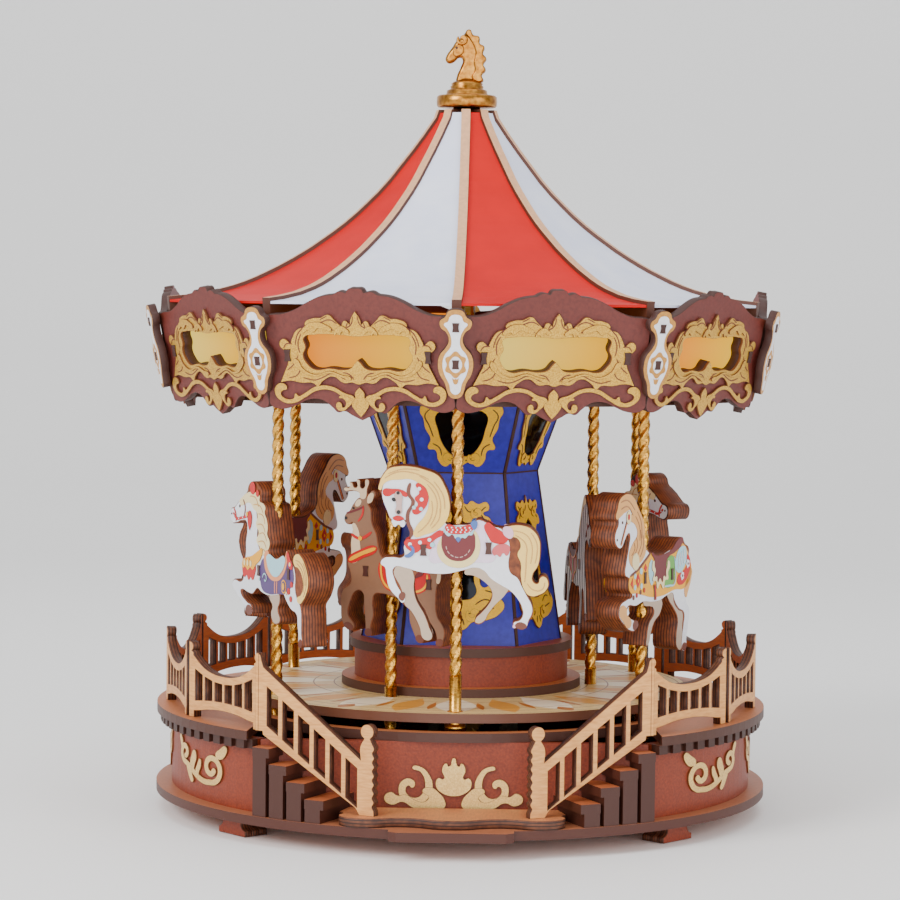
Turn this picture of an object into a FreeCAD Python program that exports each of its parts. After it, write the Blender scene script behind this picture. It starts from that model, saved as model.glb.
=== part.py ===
import FreeCAD, Part
import Sketcher
import math
import os
from FreeCAD import Placement, Rotation, Vector

# Wind-up carousel music box, millimetres. The origin is at the bottom centre of
# the feet, +Z is up and the stairs face -Y. Azimuths count from the front (-Y)
# towards +X.

SIZES = {
    "ply": 3,
    "foot_height": 6,
    "foot_radius": 93,
    "plate_radius": 104,
    "key_opening_radius": 17,
    "wall_radius": 98.7,
    "deck_radius": 103.8,
    "deck_inner_radius": 75,
    "deck_top": 35.8,
    "stair_half_span": 62.6,
    "stair_front": 77.3,
    "step_rise": 4.87,
    "step_going": 6.84,
    "fence_radius": 99.5,
    "fence_height": 24.8,
    "turntable_radius": 77.1,
    "turntable_top": 41.7,
    "outer_pole_circle": 69.8,
    "inner_pole_circle": 44.5,
    "pole_radius": 2.1,
    "pole_bore_radius": 1.5,
    "pole_hole_radius": 2.15,
    "collar_radius": 3.5,
    "stroke": 12,
    "spindle_radius": 2,
    "drum_flange_radius": 40.9,
    "drum_radius": 36.5,
    "drum_top_radius": 38,
    "drum_top": 57.7,
    "column_foot_radius": 34.2,
    "column_waist_radius": 25.6,
    "column_waist": 115,
    "canopy_floor": 140,
    "canopy_floor_radius": 96,
    "fascia_bottom": 138.4,
    "fascia_bottom_radius": 100.4,
    "fascia_top": 173.6,
    "fascia_top_radius": 107.5,
    "cap_radius": 10.3,
    "cap_bottom": 238.3,
    "crown_radius": 13.5,
    "crown_teeth": 36,
    "pinion_radius": 4.5,
    "pinion_teeth": 12,
    "crown_bottom": 20,
    "wheel_radius": 8,
    "wheel_teeth": 40,
    "governor_radius": 2,
    "governor_teeth": 10,
    "animal_thickness": 9.5,
}

doc = FreeCAD.newDocument("carousel")
sheet = doc.addObject("Spreadsheet::Sheet", "sizes")
for row, (alias, value) in enumerate(SIZES.items(), start=1):
    sheet.set(f"A{row}", alias)
    sheet.set(f"B{row}", str(value))
    sheet.setAlias(f"B{row}", alias)
doc.recompute()


def size(alias):
    return float(sheet.get(alias))


PLY = size("ply")
PLATE_TOP = size("foot_height") + PLY
DECK_TOP = size("deck_top")
TABLE_TOP = size("turntable_top")
nodes = []


def keep(obj, label):
    """Register a finished sub-part under the name of its file."""
    obj.Label = label
    nodes.append(obj)
    return obj


def solid_node(label, shapes, placement=None):
    """A sub-part whose geometry is computed rather than sketched."""
    shapes = shapes if isinstance(shapes, list) else [shapes]
    obj = doc.addObject("Part::Feature", label)
    obj.Shape = shapes[0] if len(shapes) == 1 else Part.makeCompound(shapes)
    if placement:
        obj.Placement = placement
    return keep(obj, label)


def new_sketch(body, name, role="XY_Plane"):
    sketch = body.newObject("Sketcher::SketchObject", name)
    plane = next(o for o in body.Origin.OriginFeatures if o.Role == role)
    sketch.AttachmentSupport = (plane, "")
    sketch.MapMode = "FlatFace"
    return sketch


def add_circle(sketch, name, alias, centre=(0, 0)):
    radius = size(alias)
    index = sketch.addGeometry(Part.Circle(Vector(*centre, 0), Vector(0, 0, 1), radius), False)
    number = sketch.addConstraint(Sketcher.Constraint("Radius", index, radius))
    sketch.renameConstraint(number, name)
    sketch.setExpression(f".Constraints.{name}", f"sizes.{alias}")


def add_loop(sketch, points):
    last = points[-1]
    for point in points:
        sketch.addGeometry(Part.LineSegment(Vector(*last, 0), Vector(*point, 0)), False)
        last = point


def pad(body, sketch, name, expression="sizes.ply"):
    feature = body.newObject("PartDesign::Pad", name)
    feature.Profile = sketch
    feature.setExpression("Length", expression)
    doc.recompute()
    return feature


def board_body(label, loops, circles=(), level=0.0, thickness="sizes.ply"):
    """A laser-cut board: one sketch of loops and circles, padded upward."""
    body = doc.addObject("PartDesign::Body", label)
    sketch = new_sketch(body, f"{label}_outline")
    for loop in loops:
        add_loop(sketch, loop)
    for number, (alias, centre) in enumerate(circles):
        add_circle(sketch, f"c{number}", alias, centre)
    pad(body, sketch, f"{label}_pad", thickness)
    body.Placement = Placement(Vector(0, 0, level), Rotation())
    return body


def ring_arc(outer, inner, start, stop, steps):
    """Closed outline of a ring sector between two azimuths."""
    angles = [math.radians(start + (stop - start) * i / steps) for i in range(steps + 1)]
    outline = [(outer * math.sin(a), -outer * math.cos(a)) for a in angles]
    outline += [(inner * math.sin(a), -inner * math.cos(a)) for a in reversed(angles)]
    return outline


def polar(radius, azimuth, height=0.0):
    angle = math.radians(azimuth)
    return Vector(radius * math.sin(angle), -radius * math.cos(angle), height)


def frame_at(origin, right, up):
    """Placement whose local X runs along right and local Y along up."""
    out = right.cross(up)
    out.normalize()
    return Placement(origin, Rotation(right, up, out, "ZXY"))


def plate(outline, thickness, holes=()):
    """Flat plate in local XY, from z = 0 to its thickness."""
    wire = Part.makePolygon([Vector(*p, 0) for p in outline] + [Vector(*outline[0], 0)])
    solid = Part.Face(wire).extrude(Vector(0, 0, thickness))
    for hole in holes:
        cutter = Part.makePolygon([Vector(*p, -1) for p in hole] + [Vector(*hole[0], -1)])
        solid = solid.cut(Part.Face(cutter).extrude(Vector(0, 0, thickness + 2)))
    return solid


def placed(shape, placement):
    copy = shape.copy()
    copy.Placement = placement.multiply(copy.Placement)
    return copy


def polyhedron(faces):
    shell = Part.makeShell([Part.Face(Part.makePolygon(f + [f[0]])) for f in faces])
    solid = Part.Solid(shell)
    if solid.Volume < 0:
        solid.reverse()
    return solid


def mirror_x(outline):
    return outline + [(-x, y) for x, y in reversed(outline) if abs(x) > 1e-6]


# ---------------------------------------------------------------- base case

# Four flared feet of stacked board under the base plate.
foot_profile = [(-7, 0), (7, 0), (7, 1.5), (5.5, 3), (6.5, 6), (-6.5, 6), (-5.5, 3), (-7, 1.5)]
foot = plate(foot_profile, 8)
feet = []
for azimuth in (47.5, 132.5, 227.5, 312.5):
    out = polar(1, azimuth)
    right = Vector(0, 0, 1).cross(out)
    origin = polar(size("foot_radius") - 4, azimuth)
    feet.append(placed(foot, frame_at(origin, right * -1, Vector(0, 0, 1))))
    if feet[-1].CenterOfMass.Length < origin.Length:
        feet[-1] = placed(foot, frame_at(origin, right, Vector(0, 0, 1)))
solid_node("feet", feet)

# Round base plate with the finger opening for the winding key and a front nose.
base_plate = board_body(
    "base_plate", [], [("plate_radius", (0, 0)), ("key_opening_radius", (0, 0))],
    size("foot_height"))
nose = new_sketch(base_plate, "base_plate_nose")
add_loop(nose, [(-19.5, -98), (-19.5, -105.6), (-17, -107.4), (17, -107.4), (19.5, -105.6), (19.5, -98)])
pad(base_plate, nose, "base_plate_nose_pad")
keep(base_plate, "base_plate")

# Curved wall, open at the front where the flat panel closes the case.
wall_start = math.degrees(math.asin(size("stair_half_span") / size("wall_radius")))
wall_height = DECK_TOP - PLY - PLATE_TOP
sheet.set("C1", "wall_height")
sheet.set("D1", str(wall_height))
sheet.setAlias("D1", "wall_height")
doc.recompute()
base_wall = board_body(
    "base_wall",
    [ring_arc(size("wall_radius"), size("wall_radius") - PLY, wall_start, 360 - wall_start, 96)],
    level=PLATE_TOP, thickness="sizes.wall_height")
keep(base_wall, "base_wall")

# Flat front panel between the two flights of stairs.
half_span = size("stair_half_span")
panel_front = -size("stair_front")
front_panel = board_body(
    "front_panel",
    [[(-half_span + 1, panel_front), (half_span - 1, panel_front),
      (half_span - 3, panel_front + PLY), (-half_span + 3, panel_front + PLY)]],
    level=PLATE_TOP, thickness="sizes.wall_height")
keep(front_panel, "front_panel")

# Deck ring round the turntable; the stairwell narrows it to a curved lip.
deck_outer = ring_arc(size("deck_radius"), 1, wall_start, 360 - wall_start, 96)[:97]
lip_start = math.degrees(math.asin(half_span / 79.4)) if half_span < 79.4 else 50
lip = [(79.4 * math.sin(a), -79.4 * math.cos(a))
       for a in (math.radians(-lip_start + 2 * lip_start * i / 24) for i in range(25))]
upper_deck = board_body(
    "upper_deck", [deck_outer + lip], [("deck_inner_radius", (0, 0))], DECK_TOP - PLY)
keep(upper_deck, "upper_deck")

# Notched moulding under the deck's edge.
moulding = []
teeth = 84
for i in range(teeth):
    start = wall_start + (360 - 2 * wall_start) * i / teeth
    step = (360 - 2 * wall_start) / teeth
    for radius, a in ((102.6, start), (102.6, start + 0.6 * step), (101.2, start + 0.6 * step),
                      (101.2, start + step)):
        moulding.append((polar(radius, a).x, polar(radius, a).y))
inner_edge = ring_arc(1, size("wall_radius") + 0.1, wall_start, 360 - wall_start, 96)[97:]
band = board_body("deck_moulding", [moulding + inner_edge], level=DECK_TOP - 2 * PLY)
keep(band, "deck_moulding")

# Radial brackets between the case wall and the pole sweep.
bracket = Part.makeBox(12, PLY, wall_height)
brackets = []
for azimuth in range(60, 301, 30):
    direction = polar(1, azimuth)
    side = Vector(0, 0, 1).cross(direction)
    origin = polar(size("wall_radius") - PLY - 13, azimuth, PLATE_TOP) - side * (PLY / 2)
    turn = Rotation(Vector(0, 0, 1), azimuth - 90)
    brackets.append(placed(bracket, Placement(origin, turn)))
solid_node("deck_brackets", brackets)

# Landing board at the foot of the stairs, with an ogee front edge.
landing_half = [(0, -102.2), (5, -101.8), (9, -100.2), (13, -98.6), (18, -98.4), (23, -99.8),
                (28, -100.6), (33, -99.4), (35.5, -96.5), (34.5, -94.0), (36.0, -90.0), (33.6, -80.2)]
landing = board_body("landing_board", [mirror_x(landing_half)], level=PLATE_TOP)
keep(landing, "landing_board")

# Two flights of four treads on solid risers, mirrored about the centre line.
rail_start = Vector(-half_span, panel_front, 0)
rail_dir = Vector(0.903, -0.43, 0)
rail_dir.normalize()
rail_out = Vector(rail_dir.y, -rail_dir.x, 0)


def tread_outline(start, stop, outside):
    corners = [rail_start + rail_dir * start + rail_out * outside,
               rail_start + rail_dir * stop + rail_out * outside]
    for along in (stop, start):
        point = rail_start + rail_dir * along
        reach = (panel_front - 0.2 - point.y) / rail_out.y
        corners.append(point + rail_out * reach)
    return [(c.x, c.y) for c in corners]


steps = []
going = size("step_going")
for number in range(4):
    top = DECK_TOP - size("step_rise") * (number + 1)
    start = 0.6 + number * going
    tread = plate(tread_outline(start, start + going, 11), PLY)
    riser = plate(tread_outline(start + 0.2, start + going - 1.2, 9.5), top - PLY - PLATE_TOP)
    tread.translate(Vector(0, 0, top - PLY))
    riser.translate(Vector(0, 0, PLATE_TOP))
    steps += [tread, riser]
steps = [s.common(Part.makeCylinder(103.5, 60)) for s in steps]
landing_shape = landing.Shape
steps = [s.cut(landing_shape) for s in steps]
steps += [s.mirror(Vector(0, 0, 0), Vector(1, 0, 0)) for s in steps]
solid_node("stair_treads", steps)

# Sloping balustrades with full newels at the foot.
rail_length = 40.5
slope = size("step_rise") / size("step_going")
foot_level = PLATE_TOP + PLY


def rail_base(along):
    return max(DECK_TOP + 0.6 - slope * along, foot_level + 1.2)


rail_outline = [(0, DECK_TOP), (2.4, DECK_TOP), (2.4, rail_base(2.4))]
rail_outline += [(s, rail_base(s)) for s in (12, 24, rail_length - 2.2)]
rail_outline += [(rail_length - 2.6, foot_level), (rail_length + 2.6, foot_level),
                 (rail_length + 2.2, 33), (rail_length + 1.2, 36)]
rail_outline += [(rail_length + 2.1 * math.cos(a), 38.6 + 2.1 * math.sin(a))
                 for a in (math.radians(d) for d in range(-40, 221, 20))]
rail_outline += [(rail_length - 1.2, 36), (rail_length - 2.2, 33), (2.4, 57.5 - 1.0),
                 (2.2, 58.5), (1.2, 60.2), (0, 60.6)]
openings = []
for number in range(6):
    left = 4.2 + number * 5.7
    right = left + 3.9
    top_line = [57.0 - 0.71 * s - 4.2 for s in (left, right)]
    low_line = [rail_base(s) + 3.2 for s in (left, right)]
    openings.append([(left, low_line[0]), (right, low_line[1]), (right, top_line[1]), (left, top_line[0])])
rail = plate(rail_outline, PLY, openings)
rail_frame = frame_at(rail_start + rail_out * 1.5, rail_dir, Vector(0, 0, 1))
rails = [placed(rail, rail_frame)]
rails.append(rails[0].mirror(Vector(0, 0, 0), Vector(1, 0, 0)))
solid_node("stair_rails", rails)

# Twelve identical fence panels stand on the deck, edge to edge.
fence_step = (360 - 2 * 37.5) / 12
chord = 2 * size("fence_radius") * math.sin(math.radians(fence_step / 2))
half = chord / 2 - 0.9
top = size("fence_height")
fence_half = [(0, 15.2), (6, 15.6), (11, 16.8), (15, 18.9), (half - 2.2, 20.6), (half - 2.0, 22.2),
              (half - 1.8, 23.8), (half - 0.9, top - 0.2), (half, top), (half, 0),
              (half - 2.6, 0), (half - 2.6, 2.4), (10, 3.4), (0, 4.0)]
fence_outline = fence_half[:-1] + [(-x, y) for x, y in reversed(fence_half)]
fence_outline = fence_outline[:-1]
fence_openings = []
gap = 4.4
pitch = (2 * (half - 3.2) - gap) / 5
for number in range(6):
    left = -half + 3.2 + number * pitch
    right = left + gap
    rise = [12.6 + 0.0135 * x * x for x in (left, right)]
    low = [6.6 - 0.004 * x * x for x in (left, right)]
    fence_openings.append([(left, low[0]), (right, low[1]), (right, rise[1]), (left, rise[0])])
fence_body = doc.addObject("PartDesign::Body", "fence_panel")
fence_sketch = new_sketch(fence_body, "fence_outline")
for loop in [fence_outline] + fence_openings:
    add_loop(fence_sketch, loop)
pad(fence_body, fence_sketch, "fence_pad")
panel_shape = fence_body.Shape
fence = []
for number in range(12):
    azimuth = 37.5 + fence_step * (number + 0.5)
    out = polar(1, azimuth)
    across = Vector(-out.y, out.x, 0)
    inset = size("fence_radius") * math.cos(math.radians(fence_step / 2))
    fence.append(placed(panel_shape, frame_at(polar(inset - PLY / 2, azimuth, DECK_TOP + 0.05), across,
                                              Vector(0, 0, 1))))
solid_node("fence_panels", fence)

# Thin gilt scrollwork on the wall and the front panel.
scroll_start = wall_start + 7
scrolls = []
for start in (scroll_start, 360 - scroll_start - 42):
    outline = ring_arc(size("wall_radius") + 0.9, size("wall_radius") + 0.1, start, start + 42, 14)
    scroll = plate(outline, 13)
    scroll.translate(Vector(0, 0, PLATE_TOP + 4))
    scrolls.append(scroll)
ornament_half = [(0, 21.0), (3, 17.5), (10, 17.8), (13, 20.5), (17, 18.0), (22, 12.5), (22, 7.0),
                 (14, 4.5), (7, 5.5), (0, 3.0)]
ornament = plate(mirror_x(ornament_half), 0.8)
scrolls.append(placed(ornament, frame_at(Vector(0, panel_front - 0.1, PLATE_TOP), Vector(1, 0, 0),
                                         Vector(0, 0, 1))))
solid_node("base_scrollwork", scrolls)

# ------------------------------------------------------------ music movement


def gear_outline(radius, teeth, module, slack=0.12):
    """Straight-flanked spur teeth with backlash."""
    outline = []
    tip, root = radius + 0.9 * module, radius - 1.2 * module
    width = 2 * math.pi / teeth
    for tooth in range(teeth):
        middle = tooth * width
        for r, share in ((root, -0.36), (tip, -0.13), (tip, 0.13), (root, 0.36)):
            a = middle + (share - math.copysign(slack * 0.5, share)) * width
            outline.append((r * math.cos(a), r * math.sin(a)))
    return outline


axis_height = size("crown_bottom") + 0.9 + size("pinion_radius")
along_y = Rotation(Vector(1, 0, 0), -90)

# Cast bedplate with the cylinder's and governor's bearing posts and the comb seat.
bedplate_half = [(-20, -20), (20, -20), (20, 34.5), (12.4, 39), (-12.4, 39), (-20, 34.5)]
bedplate = plate(bedplate_half, 2)
bedplate.translate(Vector(0, 0, PLATE_TOP))
post_top = axis_height + 3.2
for x, y, width, depth in ((0, 15.3, 5, 1.2), (0, 37.8, 5, 1.2), (-10, 20, 4, 1.2), (-10, 37.8, 4, 1.2)):
    post = Part.makeBox(width, depth, post_top - PLATE_TOP - 1, Vector(x - width / 2, y, PLATE_TOP + 1))
    bedplate = bedplate.fuse(post)
bedplate = bedplate.fuse(Part.makeBox(6.5, 17, axis_height - 0.5 - PLATE_TOP - 1,
                                      Vector(13, 18, PLATE_TOP + 1)))
bedplate = bedplate.cut(Part.makeCylinder(1.55, 10, Vector(0, 0, PLATE_TOP - 2)))
bedplate = bedplate.cut(Part.makeCylinder(1.05, 40, Vector(0, 12, axis_height), Vector(0, 1, 0)))
bedplate = bedplate.cut(Part.makeCylinder(0.65, 40, Vector(-10, 12, axis_height), Vector(0, 1, 0)))
screw_places = [(-16, -16), (16, -16), (-16, 32)]
for x, y in screw_places:
    bedplate = bedplate.cut(Part.makeCylinder(1.0, 10, Vector(x, y, PLATE_TOP - 2)))
solid_node("movement_bedplate", bedplate.removeSplitter())

# Slotted steel comb on its seat, tips just clear of the pinned cylinder.
comb = Part.makeBox(6.5, 17, 1, Vector(13, 18, axis_height - 0.5))
tooth_pitch = 17 / 18
for number in range(18):
    tooth = Part.makeBox(6.3, 0.66, 0.8, Vector(6.9, 18.14 + number * tooth_pitch, axis_height - 0.4))
    comb = comb.fuse(tooth)
solid_node("music_comb", comb)

# Screws that hold the bedplate and the comb.
screws = []
for x, y in screw_places:
    screw = Part.makeCylinder(1.0, 2, Vector(x, y, PLATE_TOP))
    screws.append(screw.fuse(Part.makeCylinder(2.0, 1.2, Vector(x, y, PLATE_TOP + 2))))
for y in (20.5, 26.5, 32.5):
    screws.append(Part.makeCylinder(1.7, 1.1, Vector(16.3, y, axis_height + 0.5)))
solid_node("movement_screws", screws)

# Pinned cylinder with its pinion and the wheel that drives the governor.
cylinder = Part.makeCylinder(1.0, 26.8, Vector(0, 12.2, 0), Vector(0, 1, 0))
cylinder = cylinder.fuse(Part.makeCylinder(6.0, 18.2, Vector(0, 17.2, 0), Vector(0, 1, 0)))
for row in range(18):
    for turn in (0, 1):
        angle = math.radians(row * 47 + turn * 163)
        base = Vector(5.6 * math.cos(angle), 18.47 + row * tooth_pitch, 5.6 * math.sin(angle))
        cylinder = cylinder.fuse(Part.makeCylinder(0.2, 0.85, base,
                                                   Vector(math.cos(angle), 0, math.sin(angle))))
pinion_module = 2 * size("pinion_radius") / size("pinion_teeth")
pinion = plate(gear_outline(size("pinion_radius"), int(size("pinion_teeth")), pinion_module), 2.2)
pinion_turn = Rotation(Vector(0, 1, 0), 90)
cylinder = cylinder.fuse(placed(pinion, Placement(Vector(0, 12.4, 0), pinion_turn.multiply(along_y))))
wheel_module = 2 * size("wheel_radius") / size("wheel_teeth")
wheel = plate(gear_outline(size("wheel_radius"), int(size("wheel_teeth")), wheel_module), 1.2)
cylinder = cylinder.fuse(placed(wheel, Placement(Vector(0, 36, 0), along_y)))
cylinder.translate(Vector(0, 0, axis_height))
solid_node("music_cylinder", cylinder)

# Air-brake governor: two-vane fan on a pinion shaft.
governor = Part.makeCylinder(0.6, 19.2, Vector(0, 19.7, 0), Vector(0, 1, 0))
governor_gear = plate(gear_outline(size("governor_radius"), int(size("governor_teeth")), wheel_module), 1.6)
half_tooth = Rotation(Vector(0, 1, 0), 180 / size("governor_teeth"))
governor = governor.fuse(placed(governor_gear, Placement(Vector(0, 35.8, 0), half_tooth.multiply(along_y))))
governor = governor.fuse(Part.makeBox(6.2, 8, 0.6, Vector(-3.1, 24, -0.3)))
governor.translate(Vector(-10, 0, axis_height))
solid_node("governor_fan", governor)

# Spring barrel: drum with crown teeth on its upper rim.
crown_bottom = size("crown_bottom")
barrel = Part.makeCylinder(14.6, crown_bottom - 13, Vector(0, 0, 13))
barrel = barrel.cut(Part.makeCylinder(12.2, 2.2, Vector(0, 0, crown_bottom - 2)))
crown_module = 2 * size("crown_radius") / size("crown_teeth")
crown_pitch = 360 / size("crown_teeth")
tooth_width = math.pi * crown_module
crown_tooth = plate([(-0.3 * tooth_width, -0.3), (0.3 * tooth_width, -0.3), (0.1 * tooth_width, 1.5),
                     (-0.1 * tooth_width, 1.5)], 2.2)
for number in range(int(size("crown_teeth"))):
    azimuth = 180 + (number + 0.5) * crown_pitch
    out = polar(1, azimuth)
    across = Vector(-out.y, out.x, 0)
    tooth = placed(crown_tooth, frame_at(polar(12.3, azimuth, crown_bottom), across, Vector(0, 0, 1)))
    barrel = barrel.fuse(tooth)
barrel = barrel.cut(Part.makeCylinder(1.6, 5, Vector(0, 0, 12)))
barrel = barrel.cut(Part.makeCylinder(size("spindle_radius"), 10, Vector(0, 0, 17.5)))
solid_node("spring_barrel", barrel)

# Winding key: flat butterfly wings on an arbor that enters the barrel.
key = Part.makeCylinder(1.5, 13, Vector(0, 0, 4))
key = key.fuse(Part.makeCylinder(2.6, 4.5, Vector(0, 0, 2.0)))
wing = plate([(1, 1.6), (6, 1.0), (10.5, 1.4), (12, 3.6), (10.5, 6.6), (6.5, 7.4), (1, 5.8)], 1.8)
for side in (1, -1):
    key = key.fuse(placed(wing, frame_at(Vector(0, 0.9 * side, 0), Vector(side, 0, 0), Vector(0, 0, 1))))
solid_node("winding_key", key)

# ------------------------------------------------------------ rotating stage

# Steel spindle with a flange under the turntable.
spindle = Part.makeCylinder(size("spindle_radius"), size("cap_bottom") - 17.5, Vector(0, 0, 17.5))
spindle = spindle.fuse(Part.makeCylinder(8, 2, Vector(0, 0, TABLE_TOP - PLY - 2)))
solid_node("spindle", spindle)

outer_places = [0, 60, 120, 180, 240, 300]
inner_places = [330, 90, 210]
pole_places = [("outer_pole_circle", a) for a in outer_places]
pole_places += [("inner_pole_circle", a) for a in inner_places]


def pole_centre(place):
    point = polar(size(place[0]), place[1])
    return (point.x, point.y)


pole_circles = [("pole_hole_radius", pole_centre(place)) for place in pole_places]

# Turntable board, bored for the spindle and the nine poles.
turntable = board_body(
    "turntable", [], [("turntable_radius", (0, 0)), ("spindle_radius", (0, 0))] + pole_circles,
    TABLE_TOP - PLY)
keep(turntable, "turntable")

# Drum under the column: flange board, bent wall and top board.
cover = Part.makeCylinder(size("drum_top_radius"), PLY, Vector(0, 0, size("drum_top") - PLY))
flange = Part.makeCylinder(size("drum_flange_radius"), PLY, Vector(0, 0, TABLE_TOP))
bore = Part.makeCylinder(size("spindle_radius"), 30, Vector(0, 0, TABLE_TOP - 1))
solid_node("drum_boards", [flange.cut(bore), cover.cut(bore)])
drum_wall = Part.makeCylinder(size("drum_radius"), 10, Vector(0, 0, TABLE_TOP + PLY))
drum_wall = drum_wall.cut(Part.makeCylinder(size("drum_radius") - 2, 12, Vector(0, 0, TABLE_TOP + PLY - 1)))
solid_node("drum_wall", drum_wall)

# Battery tray for the canopy lamps, beside the spindle inside the drum.
tray = Part.makeBox(22, 26, 8, Vector(6, -13, TABLE_TOP + PLY))
tray = tray.cut(Part.makeBox(20, 24, 8, Vector(7, -12, TABLE_TOP + PLY + 1)))
for y in (-6, 6):
    tray = tray.fuse(Part.makeCylinder(5, 5, Vector(17, y, TABLE_TOP + PLY + 0.9)))
solid_node("battery_tray", tray)

# Waisted six-sided column of bevelled boards, wide and narrow by turns.
corners = [-34.5, 34.5, 85.5, 154.5, 205.5, 274.5]
tiers = [(size("drum_top"), size("column_foot_radius"), size("column_waist"), size("column_waist_radius")),
         (size("column_waist"), size("column_waist_radius"), size("canopy_floor"), 34.6)]


def column_face(number, tier):
    low, low_radius, high, high_radius = tier
    first, second = corners[number], corners[(number + 1) % 6]
    if second < first:
        second += 360
    return (polar(low_radius, first, low), polar(low_radius, second, low),
            polar(high_radius, second, high), polar(high_radius, first, high))


column_boards, mirrors, cartouches = [], [], []
mirror_half_low = [(0, 43), (3.2, 41), (4.6, 36), (5.0, 28), (4.4, 20), (2.6, 15), (0, 14)]
frame_half_low = [(0, 50), (4, 47), (7.6, 42), (7.0, 36), (8.0, 28), (8.4, 20), (13.5, 15), (12, 8), (5, 6.5),
                  (0, 5)]
mirror_half_high = [(0, 20), (7.5, 19.5), (7.8, 12), (4.8, 6.5), (0, 4.6)]
frame_half_high = [(0, 22.6), (11, 22.8), (11.5, 16), (9.4, 8), (4.5, 3.2), (0, 2.2)]
for tier, mirror_half, frame_half in ((tiers[0], mirror_half_low, frame_half_low),
                                      (tiers[1], mirror_half_high, frame_half_high)):
    for number in range(6):
        outer = column_face(number, tier)
        inner = [Vector(v.x, v.y, v.z) for v in outer]
        for v in inner:
            shrink = 1 - 3.2 / math.hypot(v.x, v.y)
            v.x *= shrink
            v.y *= shrink
        a, b, c, d = outer
        e, f, g, h = inner
        column_boards.append(polyhedron([[a, b, c, d], [e, h, g, f], [a, e, f, b], [b, f, g, c],
                                         [c, g, h, d], [d, h, e, a]]))
        middle = (a + b) * 0.5
        across = b - a
        across.normalize()
        rise = (c + d) * 0.5 - middle
        rise.normalize()
        seat = frame_at(middle, across, rise)
        if seat.Rotation.multVec(Vector(0, 0, 1)).dot(Vector(middle.x, middle.y, 0)) < 0:
            seat = frame_at(middle, across * -1, rise)
        narrow = 1.0 if number % 2 == 0 else 0.74
        mirror = mirror_x([(x * narrow, y) for x, y in mirror_half])
        border = mirror_x([(x * narrow, y) for x, y in frame_half])
        mirrors.append(placed(plate(mirror, 0.4), seat.multiply(Placement(Vector(0, 0, 0.02), Rotation()))))
        ring = plate(border, 0.8, [mirror])
        cartouches.append(placed(ring, seat.multiply(Placement(Vector(0, 0, 0.02), Rotation()))))
solid_node("column_boards", column_boards)
solid_node("column_mirrors", mirrors)
solid_node("column_cartouches", cartouches)

# --------------------------------------------------------------------- canopy

# Ten-sided canopy floor with guide holes for the poles.
decagon = [(p.x, p.y) for p in (polar(size("canopy_floor_radius"), 36 * i) for i in range(10))]
canopy_floor = board_body(
    "canopy_floor", [decagon], [("spindle_radius", (0, 0))] + pole_circles, size("canopy_floor"))
keep(canopy_floor, "canopy_floor")

# Ridge curve of the roof as radius and height pairs, from the cap outwards.
ridge = [(10.3, 237.2), (11.2, 234.6), (15.4, 228.6), (19.3, 223.4), (23.3, 218.4), (27.2, 213.5),
         (31.1, 209.2), (35.0, 205.4), (38.6, 202.0), (42.6, 198.6), (46.4, 195.7), (50.4, 192.9),
         (54.3, 190.2), (58.2, 187.8), (62.0, 185.6), (65.9, 183.5), (69.4, 181.8), (73.2, 180.0),
         (77.1, 178.4), (80.9, 177.1), (88.0, 175.2), (96.0, 173.9), (102.8, 173.2)]

# Ten ribs, arched underneath so the rising poles clear them.
rib_outline = [(5.2, 237.2)] + ridge
rib_outline += [(102.2, 168), (97.6, 146), (94.0, 143), (86.0, 143), (84.5, 155), (78.0, 163.5), (66.0, 170.0),
                (50.0, 177.5), (36.0, 188.5), (24.0, 201.5), (14.0, 214.0), (5.2, 220.0)]
rib = plate(rib_outline, PLY)
ribs = []
for number in range(10):
    out = polar(1, 36 * number)
    seat = frame_at(Vector(0, 0, 0), out, Vector(0, 0, 1))
    seat = seat.multiply(Placement(Vector(0, 0, -PLY / 2), Rotation()))
    ribs.append(placed(rib, seat))
solid_node("canopy_ribs", ribs)

# Satin sheet panels between the ribs, red and white by turns.
half_turn = math.radians(18)


def roof_panel(number, sheet_thickness=0.8, drop=1.1):
    middle = polar(1, 36 * number + 18)
    across = Vector(-middle.y, middle.x, 0)

    def point(radius, height, side):
        run = radius * math.cos(half_turn)
        reach = radius * math.sin(half_turn) - 1.62
        return middle * run + across * (side * reach) + Vector(0, 0, height)

    upper = [[point(r, z - drop, side) for r, z in ridge] for side in (-1, 1)]
    lower = [[point(r, z - drop - sheet_thickness, side) for r, z in ridge] for side in (-1, 1)]
    faces = []
    for i in range(len(ridge) - 1):
        faces.append([upper[0][i], upper[0][i + 1], upper[1][i + 1], upper[1][i]])
        faces.append([lower[0][i], lower[1][i], lower[1][i + 1], lower[0][i + 1]])
        for k in (0, 1):
            faces.append([upper[k][i], lower[k][i], lower[k][i + 1], upper[k][i + 1]])
    faces.append([upper[0][0], upper[1][0], lower[1][0], lower[0][0]])
    faces.append([upper[0][-1], lower[0][-1], lower[1][-1], upper[1][-1]])
    return polyhedron(faces)


solid_node("roof_panels_red", [roof_panel(n) for n in range(0, 10, 2)])
solid_node("roof_panels_white", [roof_panel(n) for n in range(1, 10, 2)])

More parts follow.
